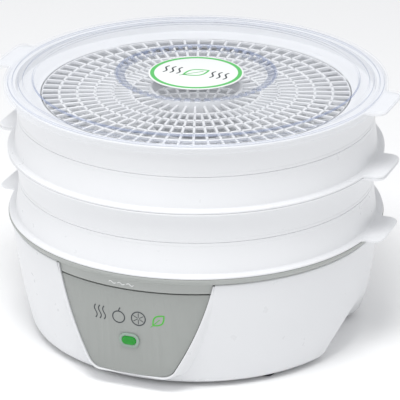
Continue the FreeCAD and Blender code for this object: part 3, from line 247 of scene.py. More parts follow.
def ranged(tree, value, low, high, given=NOISE_RANGE):
    """A value mapped from its given range to the range from low to high."""
    settings = {"Value": value, "From Min": given[0], "From Max": given[1], "To Min": low, "To Max": high}
    return add(tree, "ShaderNodeMapRange", settings).outputs["Result"]


def bumps(tree, height, strength, depth):
    """A normal that follows a height."""
    settings = {"Strength": strength, "Distance": depth, "Height": height}
    return add(tree, "ShaderNodeBump", settings).outputs["Normal"]


def wire(tree, shader, sources):
    """Links outputs to a shader's inputs by name."""
    for label, source in sources.items():
        tree.links.new(source, shader.inputs[label])


def moulded(name, colour, spread, gloss, gloss_spread, grain_mm, grain_depth, mottle_mm=60, **uniform):
    """Moulded plastic: a colour that drifts a little, gloss that varies, and a fine grain from the tool."""
    material, tree, shader = start_material(name, **uniform)
    place = add(tree, "ShaderNodeTexCoord").outputs["Object"]
    drift = noise(tree, place, 1000 / mottle_mm, 3.0)
    wear = noise(tree, place, 1000 / WEAR_MM, 4.0, 0.6)
    grain = noise(tree, place, 1000 / grain_mm)
    wire(tree, shader, {
        "Base Color": ramp(tree, drift, tones_of(colour, spread), NOISE_RANGE),
        "Roughness": ranged(tree, wear, gloss - gloss_spread, gloss + gloss_spread),
        "Normal": bumps(tree, grain, 0.6, grain_depth * MM),
    })
    return material


def settle(thing, material, body, slot=None, *stands_for):
    """Gives a finished piece its material and its body and hides the CAD nodes it stands for; the slot is not
    used.
    """
    thing.data.materials.clear()
    thing.data.materials.append(material)
    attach(thing, body)
    if stands_for:
        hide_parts(*stands_for)
    return thing


SIDE = bulged((SHELL_BASE_RADIUS, SHELL_BASE), (SHELL_FOOT_RADIUS, SHELL_FOOT), EDGE_ROUND, FOOT_STEPS)
SIDE += bulged((SHELL_FOOT_RADIUS, SHELL_FOOT), (SHELL_TOP_RADIUS, SHELL_TOP), SIDE_BULGE, SIDE_STEPS)[1:]
SIDE_RADII, SIDE_LEVELS = np.array(SIDE).T


def side_radius(z):
    """The outside of the shell at a height."""
    return float(np.interp(z, SIDE_LEVELS, SIDE_RADII))


flank_top = (-WINDOW_HALF_TOP, SHELL_TOP + WINDOW_OVERRUN)
flank_foot = (-WINDOW_HALF_FOOT, WINDOW_FOOT + CORNER_HEIGHT)
corner_end = (-WINDOW_HALF_FOOT + CORNER_WIDTH, WINDOW_FOOT)
WINDOW_LINE = bulged(flank_top, flank_foot, WINDOW_BULGE, SIDE_STEPS)
WINDOW_LINE += bulged(WINDOW_LINE[-1], corner_end, WINDOW_CORNER, 12)[1:]
WINDOW_X, WINDOW_Z = np.array(WINDOW_LINE).T


def window_half(z):
    """Half the width of the opening that the frame covers, at a height."""
    return OPENING_GROWTH - float(np.interp(z, WINDOW_Z[::-1], WINDOW_X[::-1]))


def face_radius(z):
    """The face of the raised frame at a height."""
    share = (z - SHELL_BASE) / (SHELL_TOP - SHELL_BASE)
    return FRAME_FOOT_RADIUS + (FRAME_TOP_RADIUS - FRAME_FOOT_RADIUS) * share


def gripped(radius, angle, z):
    """A radius of the shell after the two grips are scooped out of it, with soft edges."""
    lean = math.cos(GRIP_SLOPE)
    for axis in (math.pi / 2, -math.pi / 2):
        across, along = math.cos(angle - axis), math.sin(angle - axis)
        centre = GRIP_FOOT_RADIUS + GRIP_SCOOP / lean + (z - SHELL_BASE) * math.tan(GRIP_SLOPE)
        a = (across * lean / GRIP_SCOOP) ** 2 + (along / GRIP_SCOOP) ** 2
        b = -2 * centre * across * (lean / GRIP_SCOOP) ** 2
        c = (centre * lean / GRIP_SCOOP) ** 2 - 1
        if across < GRIP_FACING or b * b < 4 * a * c:
            continue
        scoop = (-b - math.sqrt(b * b - 4 * a * c)) / (2 * a)
        near = max(GRIP_BLEND - abs(radius - scoop), 0) / GRIP_BLEND
        radius = min(radius, scoop) - near * near * GRIP_BLEND / 4
    return radius


def shell_point(angle, z):
    """A point of the shell's side at an angle from the front and a height."""
    radius = gripped(side_radius(z), angle, z)
    return (radius * math.sin(angle), -radius * math.cos(angle), z)


def edge_angle(z):
    """The angle from the front at which the window's edge lies at a height."""
    return math.asin(window_half(z) / side_radius(z))


def around(first):
    """Angles from one edge of the window round the back to the other edge."""
    return list(np.linspace(first, 2 * math.pi - first, ROUND_STEPS))


FOOT_ANGLE = edge_angle(WINDOW_FOOT)
upper_levels = [WINDOW_FOOT + step * MM for step in range(8)]
upper_levels += list(np.linspace(WINDOW_FOOT + 10 * MM, SHELL_TOP - RIM_ROUND, LEVEL_STEPS))
upper_rows = [[shell_point(angle, z) for angle in around(edge_angle(z))] for z in upper_levels]
top_row = upper_rows[-1]
for turn in RIM_TURNS:
    shrink = 1 - RIM_ROUND * (1 - math.cos(turn)) / SHELL_TOP_RADIUS
    level = SHELL_TOP - RIM_ROUND * (1 - math.sin(turn))
    upper_rows.append([(x * shrink, y * shrink, level) for x, y, _ in top_row])
shell = skin("base_shell_moulding", upper_rows, closed_round=False)

lower_angles = around(FOOT_ANGLE) + list(np.linspace(-FOOT_ANGLE, FOOT_ANGLE, FRONT_STEPS)[1:-1])
lower_rows = []
for share in (0.0, 0.5, 0.95):
    row = []
    for angle in lower_angles:
        edge = math.hypot(*shell_point(angle, SHELL_BASE)[:2])
        radius = FLOOR_OPENING + max(edge - FLOOR_OPENING, 0.5 * MM) * share
        row.append((radius * math.sin(angle), -radius * math.cos(angle), SHELL_BASE))
    lower_rows.append(row)
foot_levels = [level for _, level in SIDE[: FOOT_STEPS + 1]]
foot_levels += [SHELL_FOOT + step * MM for step in (1.5, 3, 4.5)] + [WINDOW_FOOT]
for z in foot_levels:
    lower_rows.append([shell_point(angle, z) for angle in lower_angles])
lower = skin("base_shell_foot", lower_rows)
join([shell, lower], 2e-5)
thicken(shell, SHELL_WALL)

outline = np.array(WINDOW_LINE + [(-x, z) for x, z in reversed(WINDOW_LINE)])
outline = outline[outline[:, 1] < SHELL_TOP - 0.2 * MM]
ways = np.gradient(outline, axis=0)
ways /= np.linalg.norm(ways, axis=1)[:, None]
frame_rows = []
for (x, z), (along_x, along_z) in zip(outline, ways):
    out_x, out_z = along_z, -along_x
    side = out_x**2
    flank = np.interp(z, (BEVEL_LEVEL, SHELL_TOP), (BEVEL_FOOT, BEVEL_TOP))
    width = BEVEL_UNDER * (1 - side) + side * flank
    drop = face_radius(z) - side_radius(z + out_z * width) + BEVEL_SINK
    steps = list(LIP_STEPS)
    steps += [(FRAME_LIP + (width - FRAME_LIP) * share, drop * sink) for share, sink in BEVEL_STEPS]
    row = []
    for offset, depth in steps:
        across, level = x + out_x * offset, z + out_z * offset
        radius = face_radius(level) - depth
        row.append((across, -math.sqrt(max(radius**2 - across**2, 0)), min(level, SHELL_TOP - 0.1 * MM)))
    frame_rows.append(row)
frame_skin = skin("window_frame", frame_rows, closed_round=False)
join([shell, frame_skin], 1e-6)
finish_mesh(shell, angle=50)

# Polished white ABS: a soft gloss, a breath of orange peel, and tone that hardly drifts.
white_abs = moulded("white_abs_polished_mould", "E4E5E7", 0.008, 0.30, 0.03, 1.4, 0.002)
settle(shell, white_abs, "base", "white_shell", "base_shell")

# ---------------------------------------------------------------- Deck and front panel
# The deck is a grey ABS turning with a stepped rim that the trays stand on, and an apron that fills the top
# of the window. The panel below it is its own grey plate, clipped into the window a little behind the frame.

# The deck's and the panel's greys are lit and shaded copies of one grey: the panel's is painted a shade
# darker, as painted shade.
DECK_GREY, PANEL_GREY_PAINTED_SHADE = "AAADAA", "9DA09D"
EDGE_ANGLE = 35


def refined(node, name, width, slot, material):
    """A copy of a CAD node of the base with merged points and softened edges, which stands for it."""
    form = bmesh.new()
    form.from_mesh(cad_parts[node].data)
    bmesh.ops.remove_doubles(form, verts=form.verts, dist=2e-6)
    bmesh.ops.dissolve_degenerate(form, edges=form.edges, dist=1e-6)
    bmesh.ops.dissolve_limit(form, angle_limit=math.radians(0.5), verts=form.verts, edges=form.edges)
    mesh = bpy.data.meshes.new(name)
    form.to_mesh(mesh)
    form.free()
    thing = new_object(name, mesh)
    soft = thing.modifiers.new("edges", "BEVEL")
    soft.width = width
    soft.segments = 2
    soft.limit_method = "ANGLE"
    soft.angle_limit = math.radians(EDGE_ANGLE)
    finish_mesh(baked(thing), angle=EDGE_ANGLE)
    return settle(thing, material, "base", slot, node)


# Moulded grey ABS with a satin, very finely eroded tool surface.
grey_abs = moulded("grey_abs_eroded_mould", DECK_GREY, 0.02, 0.42, 0.05, 0.5, 0.012)
refined("deck", "deck_moulding", 0.35 * MM, "grey_plastic", grey_abs)
# The panel's plate takes the shaded copy of the grey: a shade darker, as painted shade.
# The panel's plate comes from a separate tool and is a shade darker.
shaded_panel_abs = moulded("grey_abs_panel_painted_shade", PANEL_GREY_PAINTED_SHADE, 0.02, 0.42, 0.05, 0.5, 0.012)
refined("front_panel", "front_panel_plate", 0.35 * MM, "grey_plastic", shaded_panel_abs)

# ---------------------------------------------------------------- Print on the panel
# A row of pictograms pad-printed on the panel under the groove: warm air, an apple, a slice of citrus and a
# leaf, drawn in dark grey and one green. Three small waves in white stand on the apron above.

PANEL_RECESS = 1.6 * MM
INK = 0.06 * MM
PICTOGRAM_LEVEL = 66 * MM
APRON_MARK_LEVEL = 95.6 * MM


def ribbon(points, width, closed=False):
    """A stroke of even width along points, as pairs of left and right points."""
    points = np.array(points, float)
    ways = np.gradient(points, axis=0)
    if closed:
        ways = (np.roll(points, -1, axis=0) - np.roll(points, 1, axis=0)) / 2
    ways /= np.linalg.norm(ways, axis=1)[:, None]
    left = np.stack([-ways[:, 1], ways[:, 0]], axis=1) * width / 2
    return [(tuple(a), tuple(b)) for a, b in zip(points + left, points - left)], closed


def printed(name, strokes, onto):
    """A thin printed layer of strokes; onto turns a point of the drawing into a point of the surface."""
    verts, faces = [], []
    for pairs, closed in strokes:
        start = len(verts)
        for a, b in pairs:
            verts += [onto(*a), onto(*b)]
        for i in range(len(pairs) if closed else len(pairs) - 1):
            a, b = start + 2 * i, start + 2 * ((i + 1) % len(pairs))
            faces.append((a, a + 1, b + 1, b))
    mesh = bpy.data.meshes.new(name)
    mesh.from_pydata(verts, [], faces)
    return new_object(name, mesh)


def ring_line(x, z, radius, squash=1.0, steps=40):
    """A circle or an ellipse as points."""
    angles = np.linspace(0, 2 * math.pi, steps, endpoint=False)
    return [(x + radius * math.sin(a), z + radius * squash * math.cos(a)) for a in angles]


def wave(x, z, height, swing, steps=16):
    """A rising wavy line."""
    shares = np.linspace(0, 1, steps)
    return [(x + swing * math.sin(share * 2 * math.pi), z + height * (share - 0.5)) for share in shares]


def leaf_line(x, z, length, steps=14):
    """A pointed leaf that leans to the right."""
    points = []
    for side in (1, -1):
        shares = np.linspace(0, 1, steps, endpoint=False)
        for share in shares if side > 0 else 1 - shares:
            bow = side * 0.3 * length * math.sin(math.pi * share)
            along = (share - 0.5) * length
            points.append((x + (along + bow) * 0.707, z + (along - bow) * 0.707))
    return points


def on_panel(x, z):
    """A point just in front of the panel's face."""
    radius = face_radius(z) - PANEL_RECESS + INK
    return (x, -math.sqrt(radius**2 - x**2), z)


def ink(name, colour):
    """Pad-printing ink: even and slightly duller than the plastic under it."""
    return moulded(name, colour, 0.04, 0.5, 0.05, 0.7, 0.006)


STROKE, FINE_STROKE, MARK_STROKE = 1.0 * MM, 0.6 * MM, 0.7 * MM
icon = PICTOGRAM_LEVEL
apple_x, slice_x, leaf_x = -9.5 * MM, 8 * MM, 25 * MM
waves = [ribbon(wave(x * MM, icon, 12 * MM, 1.3 * MM), STROKE) for x in (-31, -27, -23)]
stem = [(apple_x, icon + 4 * MM), (apple_x + 0.5 * MM, icon + 6 * MM), (apple_x + 1.5 * MM, icon + 7.6 * MM)]
apple = [ribbon(ring_line(apple_x, icon - 1 * MM, 5.4 * MM, 0.95), STROKE, True), ribbon(stem, STROKE)]
citrus = [ribbon(ring_line(slice_x, icon, 6 * MM), STROKE, True)]
for spoke in range(6):
    turn = spoke * math.pi / 3
    reach = [
        (slice_x + r * math.sin(turn) * MM, icon + r * math.cos(turn) * MM) for r in (0.8, 2.2, 3.6, 5.0)
    ]
    citrus.append(ribbon(reach, FINE_STROKE))
dark_print = printed("panel_print_dark", waves + apple + citrus, on_panel)
settle(dark_print, ink("pad_print_dark_grey", "3C4044"), "base", "grey_plastic")
vein = [(leaf_x + (t - 1.5) * MM, icon + (t - 1.5) * MM) for t in (-5, -2.5, 0, 2.5)]
leaf = [ribbon(leaf_line(leaf_x, icon, 13 * MM), STROKE * 1.2, True), ribbon(vein, FINE_STROKE)]
green_print = printed("panel_print_green", leaf, on_panel)
settle(green_print, ink("pad_print_leaf_green", "4FB43C"), "base", "grey_plastic")
marks = []
for x in (-18, -10, -2):
    swell = [
        ((x + t) * MM, APRON_MARK_LEVEL + 0.9 * MM * math.sin(t)) for t in np.linspace(0, 2 * math.pi, 13)
    ]
    marks.append(ribbon(swell, MARK_STROKE))
white_print = printed("apron_print_white", marks, on_panel)
settle(white_print, ink("pad_print_white", "F0F1F1"), "base", "grey_plastic")

# ---------------------------------------------------------------- Indicator
# A pill-shaped bezel pressed into the panel, with a clear green lens over a small lamp on a board behind.

# High-gloss moulded ABS in a grey that leans to green.
bezel_abs = moulded("bezel_abs_gloss", "93A69A", 0.02, 0.2, 0.03, 0.8, 0.004)
refined("indicator_bezel", "indicator_bezel_ring", 0.3 * MM, "bezel_grey", bezel_abs)
# Tinted acrylic: deep green with a sharp gloss, faintly lit from behind.
lens_acrylic = moulded(
    "lens_acrylic_green", "0A7A1E", 0.15, 0.12, 0.02, 2.0, 0.003, mottle_mm=6,
    Emission_Color=linear("06A020"), Emission_Strength=0.25,
)
refined("indicator_lens", "indicator_lens_pill", 0.5 * MM, "lens_green", lens_acrylic)


def dress(material, *nodes):
    """Gives CAD nodes that stay as they are a better material."""
    for node in nodes:
        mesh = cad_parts[node].data
        mesh.materials.clear()
        mesh.materials.append(material)


# Green epoxy lamp and a solder-masked glass-epoxy board.
dress(moulded("lamp_epoxy_green", "2FA84A", 0.08, 0.15, 0.03, 1.0, 0.003), "indicator_led")
dress(moulded("board_solder_mask", "1E5A33", 0.12, 0.35, 0.06, 1.2, 0.01, mottle_mm=5), "indicator_board")

# ---------------------------------------------------------------- Bottom cover, screws and feet
# A black polypropylene plate with slots for the air, held by four steel screws, and four rubber feet that
# are pushed into the shell's flat ring.

STAIN_MM = 12

# Black polypropylene off a coarse eroded tool: dull, with a pebbled grain.
black_pp = moulded("black_pp_coarse_mould", "17181A", 0.2, 0.55, 0.08, 0.9, 0.03)
refined("bottom_cover", "bottom_cover_plate", 0.3 * MM, "black_plastic", black_pp)
# Moulded rubber: matt, with a bloom that lightens it in patches.
foot_rubber = moulded("moulded_rubber", "1A1A1B", 0.3, 0.8, 0.06, 0.7, 0.03, mottle_mm=8)
refined("rubber_feet", "rubber_feet_set", 0.5 * MM, "foot_rubber", foot_rubber)


def metal(name, colour, gloss, spread, run_mm, cross_mm, depth):
    """Metal whose finish runs one way: streaks in gloss and height along Z or round the part, and stains."""
    material, tree, shader = start_material(name, Metallic=1.0)
    place = add(tree, "ShaderNodeTexCoord").outputs["Object"]
    scale = (1000 / cross_mm, 1000 / cross_mm, 1000 / run_mm)
    stretched = add(tree, "ShaderNodeMapping", {"Vector": place, "Scale": scale}).outputs["Vector"]
    streaks = noise(tree, stretched, 1.0, 3.0)
    stains = noise(tree, place, 1000 / STAIN_MM, 3.0)
    wire(tree, shader, {
        "Base Color": ramp(tree, stains, tones_of(colour, spread)),
        "Roughness": ranged(tree, streaks, gloss * 0.75, gloss * 1.25),
        "Normal": bumps(tree, streaks, 0.5, depth * MM),
    })
    return material


# Zinc-plated steel: bright grey with cloudy patches.
zinc_steel = metal("zinc_plated_steel", "C2C5C9", 0.32, 0.12, 3.0, 3.0, 0.01)
dress(zinc_steel, "cover_screws")

# ---------------------------------------------------------------- Motor and fan
# A shaded-pole motor: a laminated core on its side limb carries the coil, two pressed brackets hold the
# bearings, and the fan is pushed onto the shaft above.

# Stamped electrical steel: the edges of the sheets show as fine level lines.
laminations = metal("stacked_laminations", "6E7276", 0.45, 0.2, 0.5, 40.0, 0.05)
dress(laminations, "motor_stator", "rotor_core")
dress(zinc_steel, "motor_bracket", "lower_bearing_bracket", "upper_bearing_bracket")
dress(zinc_steel, "motor_screws", "motor_shaft")
# Enamelled copper under amber tape.
dress(metal("enamelled_copper", "B4703A", 0.3, 0.2, 0.4, 30.0, 0.06), "motor_coil")
dress(black_pp, "fan_rotor")

# ---------------------------------------------------------------- Heater, duct and outlet grille
# A rolled aluminium duct guides the air past a sheathed ring heater on a steel cross; a cut-out thermostat
# and a fuse watch it, and a grey grille covers the outlet in the deck.

# Rolled aluminium: long soft lines round the sheet.
dress(metal("rolled_aluminium", "C9CBCC", 0.3, 0.06, 0.8, 60.0, 0.02), "air_duct")
# Steel tube, browned by heat.
dress(metal("heat_browned_steel", "6B5E52", 0.42, 0.3, 4.0, 4.0, 0.01), "heater_element")
dress(zinc_steel, "heater_support", "thermal_fuse")
dress(black_pp, "limit_thermostat")
dress(grey_abs, "outlet_grille")

# ---------------------------------------------------------------- Cord inlet and wiring
# A black strain-relief gland in the back of the shell, a beige terminal block, and red silicone leads.

refined("cord_gland", "cord_gland_bush", 0.4 * MM, "black_plastic", black_pp)
# Moulded polyamide, off-white and satin.
dress(moulded("beige_polyamide", "D8D0BC", 0.05, 0.45, 0.05, 1.0, 0.02), "terminal_block")
# Silicone rubber sleeve, matt red.
red_silicone = moulded("silicone_sleeve_red", "A82A22", 0.12, 0.6, 0.06, 0.8, 0.02, mottle_mm=10)
dress(red_silicone, "lead_to_thermostat", "lead_to_fuse", "lead_to_motor", "lead_to_indicator")

# ---------------------------------------------------------------- Trays
# Each tray is one white polystyrene moulding: a drum wall with a flange and two lifting tabs, and an open
# floor of radial bars and rings round a collar. Every second tray is turned over in the stack.

TRAY_TALL = 28.6 * MM
FLANGE, FLANGE_WALL = 161.3 * MM, 2.0 * MM
TRAY_WIDE, TRAY_NARROW, TRAY_WALL = 155.3 * MM, 152.0 * MM, 2.2 * MM
BEAD = 0.5 * MM
GRID_LOW, GRID_HIGH = 10.5 * MM, 13.0 * MM
TAB_REACH, TAB_HALF, TAB_CORNER, TAB_FILLET = 175.5 * MM, 27 * MM, 9 * MM, 4 * MM
HUB, HUB_HOLE, HUB_OVERHANG = 39.5 * MM, 37 * MM, 4 * MM
GRID_OUTER, GRID_PITCH, GRID_BAR = 131 * MM, 15.2 * MM, 2.2 * MM
BARS, INNER_BARS, RINGS, RING_STEPS = 64, 32, 6, 192
PEG_CIRCLE, PEG_BOSS, PEG, PEG_TALL = 145.4 * MM, 4.2 * MM, 1.8 * MM, 3.0 * MM
PEG_ANGLE = math.radians(60)
SUNK = 0.5 * MM
COLUMNS, TAB_COLUMNS, TAB_SWEEP, CLOSEST = 200, 37, 0.045, 2e-4


def tab_gap(x, y, disc, reach):
    """How far a point lies outside a disc with two rounded tabs, with a small fillet where they meet."""
    to_disc = math.hypot(x, y) - disc
    side_x, side_y = abs(x) - reach + TAB_CORNER, abs(y) - TAB_HALF + TAB_CORNER
    to_tab = math.hypot(max(side_x, 0), max(side_y, 0)) + min(max(side_x, side_y), 0) - TAB_CORNER
    near = max(TAB_FILLET - abs(to_disc - to_tab), 0) / TAB_FILLET
    return min(to_disc, to_tab) - near * near * TAB_FILLET / 4


def tabbed_radius(angle, disc, reach):
    """The outline of a flange with two tabs at an angle from the front."""
    low, high = disc * 0.97, reach * 1.03
    for _ in range(26):
        middle = (low + high) / 2
        inside = tab_gap(middle * math.sin(angle), middle * math.cos(angle), disc, reach) < 0
        low, high = (middle, high) if inside else (low, middle)
    return low


def tab_columns(extra=()):
    """Angles round a flange, close together where the sides of the tabs are."""
    side = math.asin(TAB_HALF / FLANGE)
    angles = set(np.round(np.linspace(0, 2 * math.pi, COLUMNS, endpoint=False), 5))
    angles |= set(np.round(list(extra), 5))
    for middle in (math.pi / 2, 3 * math.pi / 2):
        for edge in (-side, side):
            near = np.linspace(middle + edge - TAB_SWEEP, middle + edge + TAB_SWEEP, TAB_COLUMNS)
            angles |= set(np.round(near, 5))
    angles = sorted(angles)
    return [a for a, b in zip(angles, angles[1:] + [math.inf]) if b - a > CLOSEST]


def turned_rows(outline, angles, reach=0):
    """Rows round the axis; the share in (radius, height, share) is how far a point follows the tabs."""
    rows = []
    for radius, level, share in outline:
        row = []
        for angle in angles:
            out = radius
            if share:
                out = radius + share * (tabbed_radius(angle, radius, reach - (FLANGE - radius)) - radius)
            row.append((out * math.sin(angle), -out * math.cos(angle), level))
        rows.append(row)
    return rows


def with_share(points, follows):
    """Adds to each (radius, height) point whether it follows the tabs."""
    return [(radius, level, 1.0 if follows(radius, level) else 0.0) for radius, level in points]


def round_rows(points, count):
    """Rows round the axis from (radius, height) points, none of which follows the tabs."""
    angles = np.linspace(0, 2 * math.pi, count, endpoint=False)
    return turned_rows([(radius, level, 0) for radius, level in points], angles)


def grown(name, tree, material, **values):
    """The plain mesh that a node tree makes, with its inputs set by the sockets' identifiers."""
    thing = new_object(name, bpy.data.meshes.new(name))
    maker = thing.modifiers.new("maker", "NODES")
    maker.node_group = tree
    for item in tree.interface.items_tree:
        if item.item_type == "SOCKET" and item.in_out == "INPUT":
            maker[item.identifier] = material if item.name == "Material" else values[item.name]
    return baked(thing)


def node_tree(name, **inputs):
    """A geometry tree with named inputs, and its input and output nodes."""
    tree = bpy.data.node_groups.new(name, "GeometryNodeTree")
    for label, kind in inputs.items():
        tree.interface.new_socket(label, in_out="INPUT", socket_type=kind)
    tree.interface.new_socket("Material", in_out="INPUT", socket_type="NodeSocketMaterial")
    tree.interface.new_socket("Geometry", in_out="OUTPUT", socket_type="NodeSocketGeometry")
    return tree, add(tree, "NodeGroupInput").outputs, add(tree, "NodeGroupOutput")


def math_node(tree, operation, first, second):
    """One step of arithmetic on two values."""
    return add(tree, "ShaderNodeMath", {0: first, 1: second}, operation=operation).outputs[0]


def combined(tree, x=0.0, y=0.0, z=0.0):
    """A vector from its parts."""
    return add(tree, "ShaderNodeCombineXYZ", {"X": x, "Y": y, "Z": z}).outputs[0]


def bars_on_circle(tree, bars, inner, outer, wide, high):
    """Radial bars between two radii."""
    middle = math_node(tree, "DIVIDE", math_node(tree, "ADD", inner, outer), 2.0)
    spots = add(tree, "GeometryNodeMeshCircle", {"Vertices": bars, "Radius": middle})
    length = math_node(tree, "SUBTRACT", outer, inner)
    bar = add(tree, "GeometryNodeMeshCube", {"Size": combined(tree, length, wide, high)})
    step = math_node(tree, "DIVIDE", 2 * math.pi, bars)
    turn = combined(tree, z=math_node(tree, "MULTIPLY", add(tree, "GeometryNodeInputIndex").outputs[0], step))
    return add(
        tree, "GeometryNodeInstanceOnPoints",
        {"Points": spots.outputs["Mesh"], "Instance": bar.outputs["Mesh"], "Rotation": turn},
    ).outputs["Instances"]


def finish_tree(tree, parts, given, result):
    """Joins the parts of a geometry tree, makes them real and gives them the material."""
    joined = add(tree, "GeometryNodeJoinGeometry")
    for part in parts:
        tree.links.new(part, joined.inputs["Geometry"])
    solid = add(tree, "GeometryNodeRealizeInstances", {"Geometry": joined.outputs["Geometry"]})
    dressed = {"Geometry": solid.outputs["Geometry"], "Material": given["Material"]}
    painted = add(tree, "GeometryNodeSetMaterial", dressed)
    tree.links.new(painted.outputs["Geometry"], result.inputs["Geometry"])
    return tree


def grid_tree():
    """Radial bars in two densities and the rings that join them."""
    sizes = {label: "NodeSocketFloat" for label in ("Inner", "Outer", "Pitch", "Width", "Height")}
    tree, given, result = node_tree("tray_grid", **sizes, Bars="NodeSocketInt", InnerBars="NodeSocketInt")

    def ring_radius(number):
        inset = math_node(tree, "MULTIPLY", given["Pitch"], float(number))
        return math_node(tree, "SUBTRACT", given["Outer"], inset)

    split = ring_radius(RINGS - 1)
    parts = [
        bars_on_circle(tree, given["Bars"], split, given["Outer"], given["Width"], given["Height"]),
        bars_on_circle(tree, given["InnerBars"], given["Inner"], split, given["Width"], given["Height"]),
    ]
    section = {"Width": given["Width"], "Height": given["Height"]}
    profile = add(tree, "GeometryNodeCurvePrimitiveQuadrilateral", section).outputs["Curve"]
    for number in range(RINGS):
        around_axis = {"Resolution": RING_STEPS, "Radius": ring_radius(number)}
        ring = add(tree, "GeometryNodeCurvePrimitiveCircle", around_axis).outputs["Curve"]
        swept = add(tree, "GeometryNodeCurveToMesh", {"Curve": ring, "Profile Curve": profile})
        parts.append(swept.outputs["Mesh"])
    return finish_tree(tree, parts, given, result)


def boss_tree():
    """Round bosses on a circle at four angles, and the pins on two of them."""
    sizes = {label: "NodeSocketFloat" for label in ("Circle", "Boss", "Pin", "Foot", "Top", "Rise")}
    tree, given, result = node_tree("locating_pegs", **sizes)
    parts = []
    for side in (1, -1):
        for mirror in (-1, 1):
            x = math_node(tree, "MULTIPLY", given["Circle"], mirror * math.cos(PEG_ANGLE))
            y = math_node(tree, "MULTIPLY", given["Circle"], side * math.sin(PEG_ANGLE))
            rods = [(given["Boss"], given["Foot"], given["Top"])]
            if side > 0:
                rods.append((given["Pin"], given["Top"], given["Rise"]))
            for radius, low, high in rods:
                tall = math_node(tree, "SUBTRACT", high, low)
                rod = add(tree, "GeometryNodeMeshCylinder", {"Vertices": 32, "Radius": radius, "Depth": tall})
                level = math_node(tree, "DIVIDE", math_node(tree, "ADD", high, low), 2.0)
                moved = {"Geometry": rod.outputs["Mesh"], "Translation": combined(tree, x, y, level)}
                parts.append(add(tree, "GeometryNodeTransform", moved).outputs["Geometry"])
    return finish_tree(tree, parts, given, result)


def drawn_tray(material):
    """One tray with its flange down on the XY plane."""
    inside = TRAY_NARROW - TRAY_WALL + 2 * MM
    wall = rounded([
        (TRAY_WIDE - TRAY_WALL, 0, 0.3 * MM), (FLANGE, 0, 0.6 * MM), (FLANGE, FLANGE_WALL, 0.9 * MM),
        (TRAY_WIDE + 0.2 * MM, FLANGE_WALL, 1.6 * MM),
        (TRAY_NARROW + 0.3 * MM, TRAY_TALL - 3.2 * MM, 0.4 * MM),
        (TRAY_NARROW + BEAD, TRAY_TALL - 2.4 * MM, 0.3 * MM), (TRAY_NARROW + BEAD, TRAY_TALL, 0.5 * MM),
        (TRAY_NARROW - TRAY_WALL, TRAY_TALL, 0.5 * MM), (inside, GRID_HIGH, 1.0 * MM),
        (GRID_OUTER, GRID_HIGH, 0.3 * MM), (GRID_OUTER, GRID_LOW, 0.3 * MM),
        (inside + 0.6 * MM, GRID_LOW, 1.0 * MM),
    ], 4)
    shared = with_share(wall, lambda radius, level: radius > TRAY_WIDE + 3 * MM and level < FLANGE_WALL + MM)
    rim = skin("tray_wall", turned_rows(shared, tab_columns(), TAB_REACH), closed_section=True)
    low, high = GRID_LOW - HUB_OVERHANG, GRID_HIGH + HUB_OVERHANG
    corners = ((HUB, low), (HUB, high), (HUB_HOLE, high), (HUB_HOLE, low))
    collar = rounded([(radius, level, 0.6 * MM) for radius, level in corners])
    hub = skin("tray_collar", round_rows(collar, 96), closed_section=True)
    grid = grown(
        "tray_floor", grid_tree(), material, Inner=HUB - SUNK, Outer=GRID_OUTER + SUNK, Pitch=GRID_PITCH,
        Width=GRID_BAR, Height=GRID_HIGH - GRID_LOW, Bars=BARS, InnerBars=INNER_BARS,
    )
    half_cell = Matrix.Rotation(math.pi / BARS, 4, "Z")
    grid.data.transform(Matrix.Translation((0, 0, (GRID_LOW + GRID_HIGH) / 2)) @ half_cell)
    soft = grid.modifiers.new("edges", "BEVEL")
    soft.width, soft.segments, soft.angle_limit = 0.35 * MM, 1, math.radians(40)
    baked(grid)
    pegs = grown(
        "tray_pegs", boss_tree(), material, Circle=PEG_CIRCLE, Boss=PEG_BOSS, Pin=PEG,
        Foot=GRID_HIGH - SUNK, Top=TRAY_TALL, Rise=TRAY_TALL + PEG_TALL,
    )
    return finish_mesh(join([rim, hub, grid, pegs], 1e-7), 1e-7, 40)


# White polystyrene: brighter and a little cooler than the base, with a soft sheen.
tray_styrene = moulded("white_polystyrene", "E9EAEC", 0.008, 0.30, 0.03, 2.2, 0.002)
first_tray = drawn_tray(tray_styrene)
for number in range(1, 5):
    low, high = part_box(f"tray_{number}")
    tray = new_object(f"tray_{number}_moulding", first_tray.data.copy())
    if number % 2:
        tray.data.transform(Matrix.Translation((0, 0, low.z)))
    else:
        over = Matrix.Rotation(math.pi, 4, "X")
        tray.data.transform(Matrix.Translation((0, 0, high.z)) @ over)
    settle(tray, tray_styrene, f"tray_{number}", "tray_plastic", f"tray_{number}", f"tray_{number}_grid")
bpy.data.objects.remove(first_tray)

# ---------------------------------------------------------------- Lid
# A clear polystyrene moulding: a flat flange with fine concentric ridges and two tabs, a low dome with a ring
# of vents round its crest, and a dish in the middle for the medallion.

LID_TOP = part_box("lid")[1].z
LID_WALL = 1.8 * MM
LID_SEAT = LID_TOP - 7.2 * MM
LID_RADIUS, LID_REACH = 163.4 * MM, 176.1 * MM
LID_SKIRT = 4.6 * MM
FIRST_RIDGE, RIDGE_PITCH, FINE_STEP = 3.2, 4.4, 0.35 * MM
STEP_MIDDLE, STEP_HALF, DOME_RADIUS, DOME_RISE = 139 * MM, 1.6 * MM, 136 * MM, 1.8 * MM
CREST_RADIUS, DISH_RADIUS, DISH_DROP = 69 * MM, 65.4 * MM, 2.6 * MM
VENTS, VENT_SHARE = 50, 0.56
VENT_OUT, VENT_IN = 67.2 * MM, 60.8 * MM
DISH_RING, DISH_MIDDLE = 50 * MM, 20 * MM
GAP_START, GAP_RAMP, GAP_DEPTH = 0.3 * MM, 3 * MM, 0.98
STEEP, EDGE_BAND = 0.85, 2 * MM

